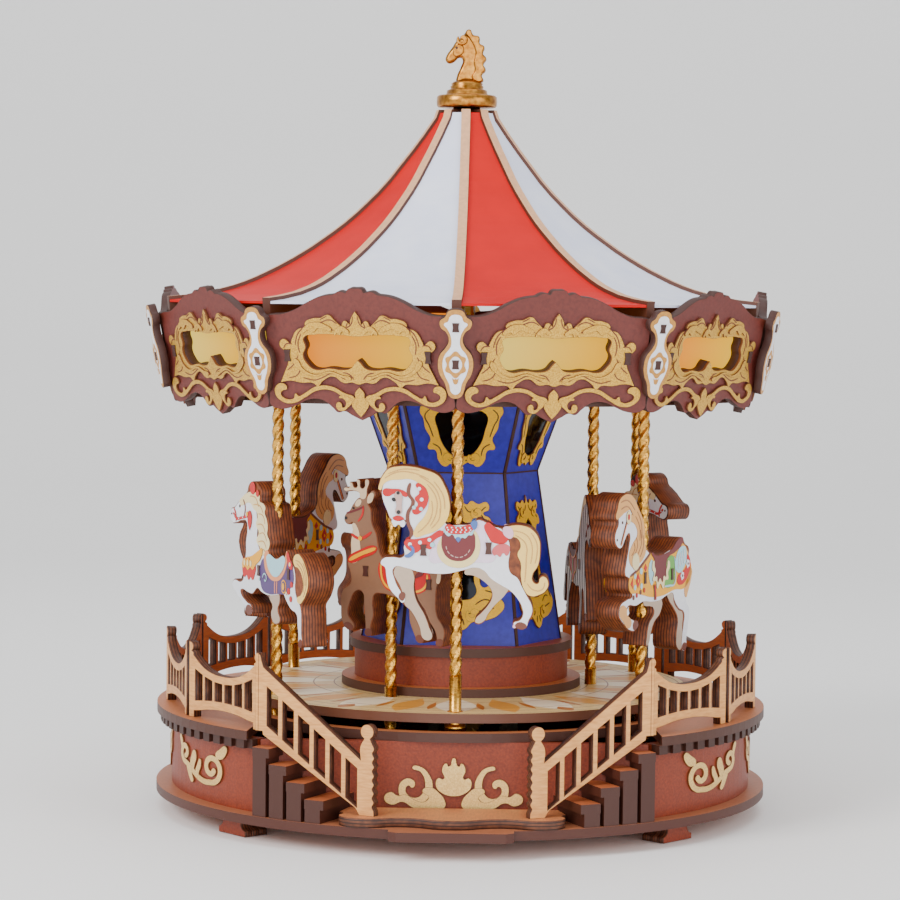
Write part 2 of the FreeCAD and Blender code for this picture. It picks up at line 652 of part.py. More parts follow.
# Fascia boards lean outward; each is pierced by a wide window.
low_half = size("fascia_bottom_radius") * math.sin(half_turn)
high_half = size("fascia_top_radius") * math.sin(half_turn)
low_run = size("fascia_bottom_radius") * math.cos(half_turn)
high_run = size("fascia_top_radius") * math.cos(half_turn)
lean = math.atan2(high_run - low_run, size("fascia_top") - size("fascia_bottom"))
fascia_height = math.hypot(high_run - low_run, size("fascia_top") - size("fascia_bottom"))
fascia_half = [(0, fascia_height + 3.0), (2.4, fascia_height + 2.0), (4.0, fascia_height + 1.2),
               (9.0, fascia_height + 0.2), (14.0, fascia_height - 2.6), (20.0, fascia_height - 4.4),
               (26.0, fascia_height - 4.2), (high_half - 1.6, fascia_height - 3.4), (low_half - 1.4, 1.4),
               (low_half - 4.0, 0.0), (low_half - 8.0, 1.6), (low_half - 12.5, 4.4), (low_half - 17.0, 3.6),
               (9.5, 0.6), (5.5, 0.4), (3.0, -1.6), (0, -3.2)]
window_half = [(0, 26.5), (12, 26.0), (17.6, 23.0), (18.8, 16.0), (15.0, 13.4), (0, 12.6)]
frame_outer = [(0, 36.0), (3.0, 32.5), (8.0, 30.2), (14.0, 30.4), (20.0, 27.0), (23.5, 22.0), (22.6, 12.0),
               (17.0, 10.2), (8.0, 9.6), (0, 8.2)]
pane_half = [(0, 29.0), (20.5, 28.6), (22.5, 26.0), (22.5, 11.5), (0, 10.6)]
fascia = plate(mirror_x(fascia_half), PLY, [mirror_x(window_half)])
fascia_boards, panes, gilt_frames, plaques = [], [], [], []
plaque_half = [(0, 33.4), (2.2, 32.4), (2.6, 30.0), (1.9, 27.6), (3.6, 24.4), (4.6, 20.0), (4.4, 15.0),
               (2.8, 11.4), (1.6, 8.6), (0, 6.0)]
plaque = plate(mirror_x(plaque_half), PLY)
for number in range(10):
    out = polar(1, 36 * number + 18)
    across = Vector(-out.y, out.x, 0)
    rise = Vector(0, 0, 1) * math.cos(lean) + out * math.sin(lean)
    seat = frame_at(out * low_run + Vector(0, 0, size("fascia_bottom")), across, rise)
    fascia_boards.append(placed(fascia, seat.multiply(Placement(Vector(0, 0, -PLY), Rotation()))))
    panes.append(placed(plate(mirror_x(pane_half), 1.0), seat.multiply(
        Placement(Vector(0, 0, -PLY - 1.05), Rotation()))))
    border = plate(mirror_x(frame_outer), 1.0, [mirror_x(window_half)])
    gilt_frames.append(placed(border, seat.multiply(Placement(Vector(0, 0, 0.03), Rotation()))))
    corner = polar(1, 36 * number)
    corner_across = Vector(-corner.y, corner.x, 0)
    corner_lean = math.atan2(size("fascia_top_radius") - size("fascia_bottom_radius"),
                             size("fascia_top") - size("fascia_bottom"))
    corner_rise = Vector(0, 0, 1) * math.cos(corner_lean) + corner * math.sin(corner_lean)
    corner_seat = frame_at(corner * (size("fascia_bottom_radius") + 0.3)
                           + Vector(0, 0, size("fascia_bottom")), corner_across, corner_rise)
    plaques.append(placed(plaque, corner_seat))
solid_node("fascia_boards", fascia_boards)
solid_node("fascia_windows", panes)
solid_node("fascia_frames", gilt_frames)
solid_node("corner_plaques", plaques)

# Lamp strip on the canopy floor, one lamp behind each window.
floor_top = size("canopy_floor") + PLY
strip = plate(ring_arc(80, 77, 0, 360, 60)[:60], 1.0, [ring_arc(1, 75.5, 0, 360, 60)[61:121]])
strip.translate(Vector(0, 0, floor_top + 0.02))
for number in range(10):
    lamp_turn = Rotation(Vector(0, 0, 1), 36 * number + 18)
    lamp = Part.makeBox(4, 3, 2.5, Vector(-2, -79, floor_top + 1))
    strip = strip.fuse(placed(lamp, Placement(Vector(0, 0, 0), lamp_turn)))
solid_node("lamp_ring", strip)

# Turned cap that locks the ribs together, bored for the spindle.
cap_bottom = size("cap_bottom")
cap_profile = [(2.0, cap_bottom - 20), (4.6, cap_bottom - 20), (4.6, cap_bottom), (10.0, cap_bottom),
               (10.3, cap_bottom + 0.6), (10.3, cap_bottom + 3.5), (9.8, cap_bottom + 4.1),
               (7.0, cap_bottom + 4.1), (6.9, cap_bottom + 5.8), (5.4, cap_bottom + 5.8),
               (5.4, cap_bottom + 7.8), (0, cap_bottom + 7.8), (0, cap_bottom), (2.0, cap_bottom)]
cap_wire = Part.makePolygon([Vector(x, 0, z) for x, z in cap_profile + cap_profile[:1]])
cap = Part.Face(cap_wire).revolve(Vector(0, 0, 0), Vector(0, 0, 1), 360)
solid_node("roof_cap", cap)

# Cast horse-head finial.
head = [(-3.8, 0), (3.6, 0), (4.6, 3.4), (5.8, 8.0), (5.4, 12.6), (3.2, 16.6), (0.6, 18.6), (-1.2, 18.9),
        (-2.2, 17.4), (-4.4, 15.0), (-7.4, 10.6), (-7.5, 8.6), (-5.8, 7.8), (-2.4, 10.2), (-2.6, 6.6), (-4.2, 3.0)]
finial = placed(plate(head, 6), frame_at(Vector(0, 3, cap_bottom + 7.8), Vector(1, 0, 0), Vector(0, 0, 1)))
solid_node("horse_head_finial", finial)

# ----------------------------------------------------------- poles and riders

# Outlines face +x with the pole axis at x = 0; heights are above the turntable
# when the pole is fully down.
white_horse = [
    (25.6, 64.5), (24.0, 66.4), (19.0, 67.6), (13.6, 67.4), (8.1, 65.2), (5.0, 60.8), (4.0, 55.8), (4.6, 51.0),
    (6.5, 48.9), (0.5, 49.0), (-2.8, 51.2), (-4.2, 52.6), (-6.1, 50.6), (-11.6, 49.8), (-15.4, 48.2),
    (-18.1, 49.4), (-21.9, 48.8), (-24.9, 45.0), (-24.9, 39.5), (-23.1, 35.0), (-24.2, 31.8), (-26.3, 32.9),
    (-27.8, 30.7), (-26.4, 27.2), (-23.1, 26.4), (-19.8, 28.9), (-17.6, 32.0), (-19.6, 29.0), (-22.2, 24.0),
    (-22.5, 20.6), (-19.8, 16.8), (-16.3, 16.8), (-17.6, 20.0), (-17.4, 23.0), (-13.4, 27.4), (-10.6, 28.6),
    (-6.1, 19.2), (-3.2, 17.4), (-2.8, 19.6), (-6.4, 24.0), (-6.8, 28.0), (-3.4, 33.0), (0.5, 34.8), (7.0, 34.4),
    (12.0, 34.8), (13.0, 30.0), (10.0, 20.0), (8.0, 17.4), (12.0, 16.8), (16.5, 23.4), (21.0, 27.0),
    (24.2, 32.8), (24.9, 38.2), (20.4, 41.0), (17.6, 46.0), (17.4, 50.0), (21.8, 48.4), (24.6, 53.6),
    (26.0, 60.0)]
prancing_horse = [
    (20.6, 57.4), (16.0, 62.6), (11.0, 66.4), (7.0, 64.6), (6.0, 58.0), (5.4, 51.0), (3.0, 46.4), (-3.0, 43.4),
    (-8.2, 44.0), (-11.0, 45.0), (-17.4, 43.6), (-22.6, 40.0), (-26.8, 36.4), (-29.2, 30.0), (-28.6, 24.4),
    (-26.2, 25.2), (-24.6, 30.0), (-22.6, 27.0), (-23.4, 21.0), (-26.0, 15.5), (-27.8, 10.6), (-26.4, 6.6),
    (-22.6, 7.4), (-21.4, 13.0), (-16.4, 19.6), (-12.4, 26.0), (-9.0, 23.4), (-11.4, 15.0), (-9.4, 9.0),
    (-6.0, 9.8), (-6.6, 15.6), (-3.6, 24.0), (-2.0, 28.4), (6.0, 27.6), (11.8, 28.4), (16.0, 24.0),
    (20.2, 17.0), (23.6, 17.8), (22.4, 22.4), (19.6, 28.6), (24.0, 30.6), (26.4, 24.0), (29.2, 22.4),
    (29.6, 27.0), (27.0, 34.0), (21.4, 37.6), (17.6, 41.6), (17.0, 48.4), (20.6, 49.4), (25.4, 47.4),
    (27.6, 49.6), (26.0, 53.4)]
deer = [
    (14.0, 62.6), (10.6, 69.4), (4.2, 69.0), (2.0, 67.0), (4.6, 63.4), (4.2, 59.6), (0.6, 53.0), (0.0, 44.0),
    (-4.0, 40.6), (-12.0, 40.4), (-18.6, 39.4), (-21.6, 41.4), (-22.4, 37.6), (-20.4, 31.0), (-20.6, 26.0),
    (-24.0, 21.0), (-22.6, 15.6), (-21.0, 17.6), (-18.2, 23.4), (-14.6, 28.0), (-13.2, 24.6), (-17.0, 19.6),
    (-14.6, 16.2), (-10.6, 22.4), (-8.6, 29.0), (-3.0, 30.6), (4.6, 30.0), (9.4, 28.2), (12.2, 21.4),
    (13.2, 15.8), (16.6, 16.0), (15.8, 23.4), (14.0, 29.0), (18.6, 27.2), (19.8, 22.4), (22.4, 23.2),
    (22.6, 29.0), (18.0, 33.6), (13.0, 37.6), (10.4, 44.0), (11.0, 52.4), (16.4, 54.0), (17.2, 56.2), (13.6, 58.8)]
zebra = [
    (17.6, 52.6), (13.0, 58.4), (9.6, 60.8), (5.6, 58.0), (1.6, 52.0), (-1.4, 45.0), (-3.6, 41.4), (-9.6, 41.0),
    (-15.0, 42.6), (-20.4, 41.0), (-23.6, 37.0), (-26.6, 29.0), (-27.4, 21.4), (-25.8, 21.0), (-24.0, 28.0),
    (-22.8, 31.0), (-21.0, 25.0), (-22.4, 18.0), (-20.6, 12.8), (-17.6, 13.4), (-18.2, 19.4), (-15.6, 26.0),
    (-12.4, 28.8), (-5.0, 28.2), (1.0, 28.0), (2.4, 22.0), (0.6, 14.6), (3.2, 12.4), (5.4, 14.0), (5.8, 22.0),
    (7.6, 28.6), (10.6, 22.6), (13.8, 17.8), (16.4, 18.8), (14.4, 24.6), (12.8, 31.4), (10.4, 37.0),
    (11.0, 43.0), (14.4, 45.8), (18.0, 43.6), (21.4, 44.4), (21.6, 47.4)]

# Lift of each pole at rest above its lowest place, and what it carries.
riders = [
    ("outer_pole_circle", 0, 11.0, "white_horse_front", white_horse, 0),
    ("outer_pole_circle", 60, 2.0, "blanket_horse_right", prancing_horse, 0),
    ("outer_pole_circle", 120, 6.0, "pompom_horse_right", prancing_horse, 0),
    ("outer_pole_circle", 180, 9.0, "white_horse_rear", white_horse, 0),
    ("outer_pole_circle", 240, 8.0, "blanket_horse_left", prancing_horse, 0),
    ("outer_pole_circle", 300, 5.0, "pompom_horse_left", prancing_horse, 0),
    ("inner_pole_circle", 330, 3.0, "deer_front", deer, 0),
    ("inner_pole_circle", 90, 5.0, "zebra", zebra, 10),
    ("inner_pole_circle", 210, 7.0, "deer_rear", deer, 0),
]
pole_numbers = {"outer_pole_circle": 0, "inner_pole_circle": 0}
pole_profile = [("pole_bore_radius", 0), ("pole_radius", 0), ("pole_radius", 15.1), ("collar_radius", 15.1),
                ("collar_radius", 17.1), ("pole_radius", 17.1), ("pole_radius", 139), ("pole_bore_radius", 139)]
for circle, azimuth, lift, name, outline, outward in riders:
    pole_numbers[circle] += 1
    label = f"{circle.split('_')[0]}_pole_{pole_numbers[circle]}"
    pole = doc.addObject("PartDesign::Body", label)
    profile = new_sketch(pole, f"{label}_profile", "XZ_Plane")
    add_loop(profile, [(size(alias), height) for alias, height in pole_profile])
    turned = pole.newObject("PartDesign::Revolution", f"{label}_turned")
    turned.Profile = profile
    turned.ReferenceAxis = (profile, ["V_Axis"])
    turned.Angle = 360
    doc.recompute()
    foot_point = polar(size(circle), azimuth, PLATE_TOP + 0.3 + lift)
    pole.Placement = Placement(foot_point, Rotation())
    keep(pole, label)

    angle = math.radians(azimuth + outward)
    forward = Vector(-math.cos(angle), -math.sin(angle), 0)
    thickness = size("animal_thickness")
    body = plate(outline, thickness)
    seat = frame_at(polar(size(circle), azimuth, TABLE_TOP + lift), forward, Vector(0, 0, 1))
    seat = seat.multiply(Placement(Vector(0, 0, -thickness / 2), Rotation()))
    bore = Part.makeCylinder(size("pole_radius"), 200, polar(size(circle), azimuth))
    solid_node(name, placed(body, seat).cut(bore))

doc.recompute()
os.makedirs("parts", exist_ok=True)
for obj in doc.Objects:
    if "Invalid" in obj.State or "Error" in obj.State:
        raise RuntimeError(f"{obj.Name} is {obj.State}")
total = FreeCAD.BoundBox()
for node in nodes:
    shape = node.Shape
    if shape.isNull() or not shape.isValid():
        raise RuntimeError(f"{node.Label} has no valid shape")
    total.add(shape.BoundBox)
    shape.exportStep(f"parts/{node.Label}.step")
print(len(nodes), "parts", total)
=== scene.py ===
import bpy
import bmesh
import math
from mathutils import Matrix, Vector


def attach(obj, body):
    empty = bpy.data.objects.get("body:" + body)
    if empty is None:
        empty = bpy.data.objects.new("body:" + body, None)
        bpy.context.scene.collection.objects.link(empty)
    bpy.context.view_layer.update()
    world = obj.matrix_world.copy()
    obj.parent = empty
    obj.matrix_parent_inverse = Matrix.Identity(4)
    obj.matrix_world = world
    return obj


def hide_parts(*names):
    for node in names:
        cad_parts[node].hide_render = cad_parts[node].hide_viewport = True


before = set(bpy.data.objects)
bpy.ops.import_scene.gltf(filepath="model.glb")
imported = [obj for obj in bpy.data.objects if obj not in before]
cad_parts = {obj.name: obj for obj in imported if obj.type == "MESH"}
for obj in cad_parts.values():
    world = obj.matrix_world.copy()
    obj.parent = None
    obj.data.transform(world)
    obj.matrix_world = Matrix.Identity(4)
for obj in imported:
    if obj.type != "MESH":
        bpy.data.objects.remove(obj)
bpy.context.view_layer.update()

# The base case: stained plywood boards with scorched laser-cut edges, glued up
# from a round bottom board, a bent wall, a flat front panel and a deck ring.
MM = 0.001


def rgb(red, green, blue):
    """Linear colour from the 0-255 values of a paint chip."""
    return tuple(((c / 255 + 0.055) / 1.055) ** 2.4 if c > 10 else c / 3294 for c in (red, green, blue)) + (1,)


def surface(name, colour, roughness, metallic=0.0, vary=0.18, scale=900, bump=0.15, stretch=(1, 1, 1),
    dark=None):
    """A finish whose colour and relief wander a little over the piece."""
    mat = bpy.data.materials.new(name)
    mat.use_nodes = True
    nodes, links = mat.node_tree.nodes, mat.node_tree.links
    shader = nodes["Principled BSDF"]
    shader.inputs["Roughness"].default_value = roughness
    shader.inputs["Metallic"].default_value = metallic
    coords = nodes.new("ShaderNodeTexCoord")
    mapping = nodes.new("ShaderNodeMapping")
    mapping.inputs["Scale"].default_value = stretch
    noise = nodes.new("ShaderNodeTexNoise")
    noise.inputs["Scale"].default_value = scale
    noise.inputs["Detail"].default_value = 6
    ramp = nodes.new("ShaderNodeValToRGB")
    low = dark or tuple(c * (1 - vary) for c in colour[:3]) + (1,)
    ramp.color_ramp.elements[0].position = 0.3
    ramp.color_ramp.elements[0].color = low
    ramp.color_ramp.elements[1].position = 0.7
    ramp.color_ramp.elements[1].color = colour
    relief = nodes.new("ShaderNodeBump")
    relief.inputs["Strength"].default_value = bump
    relief.inputs["Distance"].default_value = 0.0002
    links.new(coords.outputs["Object"], mapping.inputs["Vector"])
    links.new(mapping.outputs["Vector"], noise.inputs["Vector"])
    links.new(noise.outputs["Fac"], ramp.inputs["Fac"])
    links.new(ramp.outputs["Color"], shader.inputs["Base Color"])
    links.new(noise.outputs["Fac"], relief.inputs["Height"])
    links.new(relief.outputs["Normal"], shader.inputs["Normal"])
    return mat


def scorched_edge(name, light, dark):
    """Laser-cut plywood edge: dark glue lines between browner plies, by depth."""
    mat = surface(name, light, 0.6, dark=dark, scale=500, bump=0.3)
    nodes, links = mat.node_tree.nodes, mat.node_tree.links
    shader = nodes["Principled BSDF"]
    depth = nodes.new("ShaderNodeAttribute")
    depth.attribute_name = "depth"
    wave = nodes.new("ShaderNodeMath")
    wave.operation = "SINE"
    turns = nodes.new("ShaderNodeMath")
    turns.operation = "MULTIPLY"
    turns.inputs[1].default_value = 2 * math.pi / 1.05
    links.new(depth.outputs["Fac"], turns.inputs[0])
    links.new(turns.outputs[0], wave.inputs[0])
    band = nodes.new("ShaderNodeMapRange")
    band.inputs["From Min"].default_value = 0.2
    band.inputs["From Max"].default_value = 0.9
    links.new(wave.outputs[0], band.inputs["Value"])
    mix = nodes.new("ShaderNodeMix")
    mix.data_type = "RGBA"
    source = shader.inputs["Base Color"].links[0].from_socket
    links.new(band.outputs["Result"], mix.inputs["Factor"])
    links.new(source, mix.inputs["A"])
    mix.inputs["B"].default_value = tuple(c * 0.25 for c in dark[:3]) + (1,)
    links.new(mix.outputs["Result"], shader.inputs["Base Color"])
    return mat


def edge_by_slope(name, flat_colour, side_colour, roughness=0.5, axis=2, limit=0.6, scale=700, bump=0.2):
    """Board whose flat faces and cut edges differ, told apart by the normal."""
    mat = surface(name, flat_colour, roughness, scale=scale, bump=bump)
    nodes, links = mat.node_tree.nodes, mat.node_tree.links
    shader = nodes["Principled BSDF"]
    coords = next(n for n in nodes if n.type == "TEX_COORD")
    split = nodes.new("ShaderNodeSeparateXYZ")
    links.new(coords.outputs["Normal"], split.inputs["Vector"])
    size_of = nodes.new("ShaderNodeMath")
    size_of.operation = "ABSOLUTE"
    links.new(split.outputs[axis], size_of.inputs[0])
    side = nodes.new("ShaderNodeMath")
    side.operation = "LESS_THAN"
    side.inputs[1].default_value = limit
    links.new(size_of.outputs[0], side.inputs[0])
    mix = nodes.new("ShaderNodeMix")
    mix.data_type = "RGBA"
    source = shader.inputs["Base Color"].links[0].from_socket
    links.new(side.outputs[0], mix.inputs["Factor"])
    links.new(source, mix.inputs["A"])
    mix.inputs["B"].default_value = side_colour
    links.new(mix.outputs["Result"], shader.inputs["Base Color"])
    return mat


def dress(node, mat):
    """Give a packed board its finish and leave its shape alone."""
    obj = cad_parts[node]
    for place in obj.material_slots:
        place.material = mat
    if not obj.material_slots:
        obj.data.materials.append(mat)


mahogany = surface("mahogany_board", rgb(142, 54, 20), 0.5, dark=rgb(112, 38, 14), scale=1400, bump=0.35)
mahogany_flat = edge_by_slope("mahogany_flat_board", rgb(176, 106, 70), rgb(74, 32, 18))
dress("base_wall", mahogany)
dress("front_panel", mahogany)
dress("drum_wall", mahogany)
dress("base_plate", mahogany_flat)
dress("deck_brackets", mahogany)
deck_finish = edge_by_slope("deck_board", rgb(190, 112, 66), rgb(70, 34, 20))
dress("upper_deck", deck_finish)
dress("deck_moulding", edge_by_slope("moulding_board", rgb(110, 58, 36), rgb(58, 26, 14)))
dress("stair_treads", edge_by_slope("tread_board", rgb(184, 98, 54), rgb(66, 30, 18)))
dress("drum_boards", edge_by_slope("drum_board", rgb(200, 112, 52), rgb(72, 36, 20)))

# Feet: flared brackets with a squared block, sawn from stacked board and
# glued under the bottom board.
maple_face = surface("maple_face", rgb(232, 170, 100), 0.5, scale=260, stretch=(1, 1, 6),
    dark=rgb(206, 138, 72))
# The second maple below is a darker copy, used on the inner faces of the fence as painted shade.
maple_back_painted_shade = surface("maple_back_painted_shade", rgb(208, 104, 40), 0.5, scale=260, stretch=(1, 1, 6), dark=rgb(176, 92, 48))
burnt = scorched_edge("burnt_edge", rgb(112, 62, 34), rgb(70, 34, 18))


def cut_board(kit, outline, thickness, face, edge, place, holes=(), base=0.0, bevel=0.1, back=None, grow=0.0):
    """Cut one board from a smooth outline and add it to a kit of parts.

    Knots are (x, y) in millimetres, with a third value at a sharp corner."""
    curve = bpy.data.curves.new("outline", "CURVE")
    curve.dimensions = "2D"
    curve.fill_mode = "BOTH"
    curve.bevel_depth = bevel
    curve.bevel_resolution = 0
    curve.offset = grow - bevel
    curve.extrude = thickness / 2 - bevel
    curve.resolution_u = 5
    for loop in (outline, *holes):
        spline = curve.splines.new("BEZIER")
        spline.bezier_points.add(len(loop) - 1)
        spline.use_cyclic_u = True
        for knot, (x, y, *corner) in zip(spline.bezier_points, loop):
            knot.co = (x, y, 0)
            knot.handle_left_type = knot.handle_right_type = "VECTOR" if corner else "AUTO"
    holder = bpy.data.objects.new("outline", curve)
    mesh = bpy.data.meshes.new_from_object(holder)
    bpy.data.objects.remove(holder)
    bpy.data.curves.remove(curve)
    part = bmesh.new()
    part.from_mesh(mesh)
    bmesh.ops.remove_doubles(part, verts=part.verts, dist=1e-4)
    bmesh.ops.translate(part, verts=part.verts, vec=(0, 0, base + thickness / 2))
    bmesh.ops.recalc_face_normals(part, faces=part.faces)
    for finish in (face, edge, back or face):
        if finish not in kit["finishes"]:
            kit["finishes"].append(finish)
    depth = part.verts.layers.float.new("depth")
    for vert in part.verts:
        vert[depth] = vert.co.z
    for polygon in part.faces:
        finish = face if polygon.normal.z > 0.8 else (back or face) if polygon.normal.z < -0.8 else edge
        polygon.material_index = kit["finishes"].index(finish)
    part.transform(place)
    if place.to_3x3().determinant() < 0:
        bmesh.ops.reverse_faces(part, faces=part.faces)
    part.to_mesh(mesh)
    part.free()
    kit["mesh"].from_mesh(mesh)
    bpy.data.meshes.remove(mesh)


def new_kit():
    kit = {"mesh": bmesh.new(), "finishes": []}
    kit["mesh"].verts.layers.float.new("depth")
    return kit


def build(kit, name, body, nodes=(), smooth=False):
    """Turn a kit of parts into one piece that rides on a body."""
    mesh = bpy.data.meshes.new(name)
    if smooth:
        for polygon in kit["mesh"].faces:
            polygon.smooth = True
    kit["mesh"].to_mesh(mesh)
    kit["mesh"].free()
    for finish in kit["finishes"]:
        mesh.materials.append(finish)
    piece = bpy.data.objects.new(name, mesh)
    bpy.context.scene.collection.objects.link(piece)
    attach(piece, body)
    if nodes:
        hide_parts(*nodes)
    return piece


def seat(origin, right, up):
    """Placement of a board: X along right, Y along up, in metres from mm."""
    right, up = Vector(right).normalized(), Vector(up).normalized()
    out = right.cross(up)
    turn = Matrix((right, up, out)).transposed().to_4x4()
    return Matrix.Translation(Vector(origin) * MM) @ turn @ Matrix.Scale(MM, 4)


def polar(radius, azimuth, height=0.0):
    angle = math.radians(azimuth)
    return Vector((radius * math.sin(angle), -radius * math.cos(angle), height))


def both_sides(half):
    """Mirror a half outline about the Y axis."""
    return half + [(-x, *rest) for x, *rest in reversed(half) if abs(x) > 1e-6]


UP = Vector((0, 0, 1))
kit = new_kit()
foot = [(-7, 0, 1), (7, 0, 1), (7, 1.8, 1), (5.4, 2.6), (4.8, 4.2), (6.6, 6, 1), (-6.6, 6, 1), (-4.8, 4.2),
    (-5.4, 2.6), (-7, 1.8, 1)]
for azimuth in (47.5, 132.5, 227.5, 312.5):
    out = polar(1, azimuth)
    for layer in range(3):
        cut_board(kit, foot, 3, mahogany, burnt, seat(polar(89.5 + 3 * layer - 1.0, azimuth), UP.cross(out),
            UP))
build(kit, "feet_stacked", "base", ["feet"])

# Landing board at the foot of the stairs: one board with an ogee front edge
# that swells at the newels; the lower skirt board on the bottom board's nose is not cut.
kit = new_kit()
landing = both_sides([(0, -102.4), (5, -101.8), (9.5, -99.6), (14, -98.4), (19, -98.6), (24, -100.4),
    (29, -100.4),
                      (33.5, -98.2), (35.4, -94.5), (34.2, -91.2), (35.6, -88.4, 1), (33.2, -80.2, 1)])
landing_face = surface("landing_face", rgb(206, 128, 74), 0.5, scale=240, stretch=(6, 1, 1),
    dark=rgb(178, 112, 74))
flat = seat((0, 0, 9), (1, 0, 0), (0, 1, 0))
cut_board(kit, landing, 3, landing_face, burnt, flat)
build(kit, "landing_ogee", "base", ["landing_board"])

# Fence: twelve laser-cut maple panels on the deck, each with five balusters, a
# dipped top rail, an arched foot rail and half newels with scalloped edges.
FENCE_STEP = (360 - 75) / 12
half = 99.5 * math.sin(math.radians(FENCE_STEP / 2)) - 0.9


def fence_half():
    points = [(0, 15.0), (7, 15.6), (12, 17.2), (half - 2.4, 20.4, 1)]
    points += [(half - 2.4, 21.2, 1), (half - 1.3, 21.7, 1), (half - 2.1, 22.6), (half - 1.9, 24.0), (half,
        24.8, 1)]
    points += [(half, 0, 1), (half - 2.8, 0, 1), (half - 2.8, 2.2, 1)]
    points += [(half - 5, 2.4), (8, 3.4), (0, 3.8)]
    return points


panel = fence_half()
panel = panel[:-1] + [(-x, *rest) for x, *rest in reversed(panel)][:-1]
openings = []
gap, pitch = 4.3, (2 * (half - 3.4) - 4.3) / 5
for number in range(6):
    left = -half + 3.4 + number * pitch
    right = left + gap
    tops = [12.4 + 0.0135 * x * x for x in (left, right)]
    lows = [6.6 - 0.004 * x * x for x in (left, right)]
    openings.append([(left, lows[0], 1), (right, lows[1], 1), (right, tops[1], 1), (left, tops[0], 1)])
kit = new_kit()
for number in range(12):
    azimuth = 37.5 + FENCE_STEP * (number + 0.5)
    out = polar(1, azimuth)
    inset = 99.5 * math.cos(math.radians(FENCE_STEP / 2)) - 1.5
    # The inner faces take the darker maple copy as painted shade.
    cut_board(kit, panel, 3, maple_face, burnt, seat(polar(inset, azimuth, 35.85), UP.cross(out), UP),
              openings, back=maple_back_painted_shade)
build(kit, "fence_ring", "base", ["fence_panels"])

# Stair balustrades: sloping maple panels with six slanted openings and a
# ball-topped newel with scalloped edges at the foot.
rail_start = Vector((-62.6, -77.3, 0))
rail_dir = Vector((0.903, -0.43, 0)).normalized()
LENGTH, SLOPE = 40.5, 4.87 / 6.84
newel = []
for step in range(8):
    newel += [(LENGTH + 2.5, 13.5 + 2.8 * step), (LENGTH + 1.9, 14.9 + 2.8 * step)]
rail = [(0, 35.8, 1), (2.6, 35.8, 1), (2.8, 36.6 - SLOPE * 2.8, 1), (LENGTH - 4.0, 14.2, 1), (LENGTH - 2.6, 12,
    1),
        (LENGTH + 2.6, 12, 1)]
rail += newel + [(LENGTH + 1.0, 36.2, 1)]
rail += [(LENGTH + 2.3 * math.cos(a), 38.4 + 2.3 * math.sin(a)) for a in (math.radians(d) for d in range(-30, 211, 40))]
rail += [(LENGTH - 1.0, 36.2, 1), (LENGTH - 2.4, 33.6), (LENGTH - 2.2, 29.4, 1),
    (2.8, 56.2, 1), (2.2, 58.0), (1.4, 60.2), (0, 60.6, 1)]
openings = []
for number in range(6):
    left = 4.2 + number * 5.75
    right = left + 4.1
    tops = [53.0 - 0.71 * s for s in (left, right)]
    lows = [40.6 - 0.71 * s for s in (left, right)]
    openings.append([(left, lows[0], 1), (right, lows[1], 1), (right, tops[1], 1), (left, tops[0], 1)])
kit = new_kit()
rail_out = Vector((rail_dir.y, -rail_dir.x, 0))
left_rail = seat(rail_start - rail_out * 1.5, rail_dir, UP)
flip = Matrix.Scale(-1, 4, (1, 0, 0))
for place in (left_rail, flip @ left_rail):
    cut_board(kit, rail, 3, maple_face, burnt, place, openings)
build(kit, "stair_balustrades", "base", ["stair_rails"])

# Gilt scrollwork: thin laser-cut leaf and C-scroll ornament glued to the front
# panel and to the wall on both sides.
gold_leaf = surface("gold_leaf", rgb(236, 192, 84), 0.36, metallic=0.7, vary=0.4, scale=2600, bump=0.5,
    dark=rgb(186, 130, 40))
gold_edge = surface("gold_edge", rgb(120, 66, 30), 0.5)
pale_gold = surface("pale_gold", rgb(246, 212, 138), 0.4, metallic=0.45, vary=0.2, scale=2200, bump=0.3,
    dark=rgb(216, 170, 92))
c_scroll = [(0, 0), (2.5, -2.4), (6, -3.2), (9.6, -1.6), (11.2, 1.8), (10.0, 5.0), (7.0, 5.8), (5.2, 4.0),
    (6.4, 2.6),
            (7.6, 3.4), (8.6, 2.0), (7.6, 0.2), (5.0, -0.6), (2.6, 1.0), (1.8, 4.4), (3.4, 8.0), (6.4, 9.6),
                (3.2, 9.8),
            (0.2, 7.0), (-1.0, 3.4)]
leaf_scroll = [(0, 0), (3, -1.8), (7, -2.2), (11, -0.6), (14.4, 1.6), (18, 0.4), (20.6, 3.0), (18.4, 5.6),
    (16.0, 4.2),
               (13.2, 4.6), (10.4, 2.6), (7.2, 1.8), (5.6, 3.6), (7.8, 6.2), (5.0, 7.6), (2.0, 5.4), (0.2, 2.6)]
palmette = both_sides([(0, 12.4), (1.6, 9.6), (2.4, 10.6), (3.8, 8.4), (3.2, 5.6), (5.0, 5.8), (5.6, 3.0),
    (3.4, 0.8), (0, 0)])
kit = new_kit()
front = seat((0, -77.35, 9), (1, 0, 0), UP)


def shifted(points, dx, dy, sx=1.0, sy=1.0):
    return [(x * sx + dx, y * sy + dy, *rest) for x, y, *rest in points]


def dot(x, y, radius, stretch=1.0):
    return [(x + radius * math.cos(a), y + radius * stretch * math.sin(a))
            for a in (math.tau * i / 6 for i in range(6))]


def stroke(points, width):
    """Tapered brush line along some points."""
    left, right = [], []
    for index, (x, y) in enumerate(points):
        ahead, behind = points[min(index + 1, len(points) - 1)], points[max(index - 1, 0)]
        run = math.hypot(ahead[0] - behind[0], ahead[1] - behind[1]) or 1
        nx, ny = -(ahead[1] - behind[1]) / run, (ahead[0] - behind[0]) / run
        half = width / 2 * (0.35 if index in (0, len(points) - 1) else 1)
        left.append((x + nx * half, y + ny * half))
        right.append((x - nx * half, y - ny * half))
    return left + right[::-1]


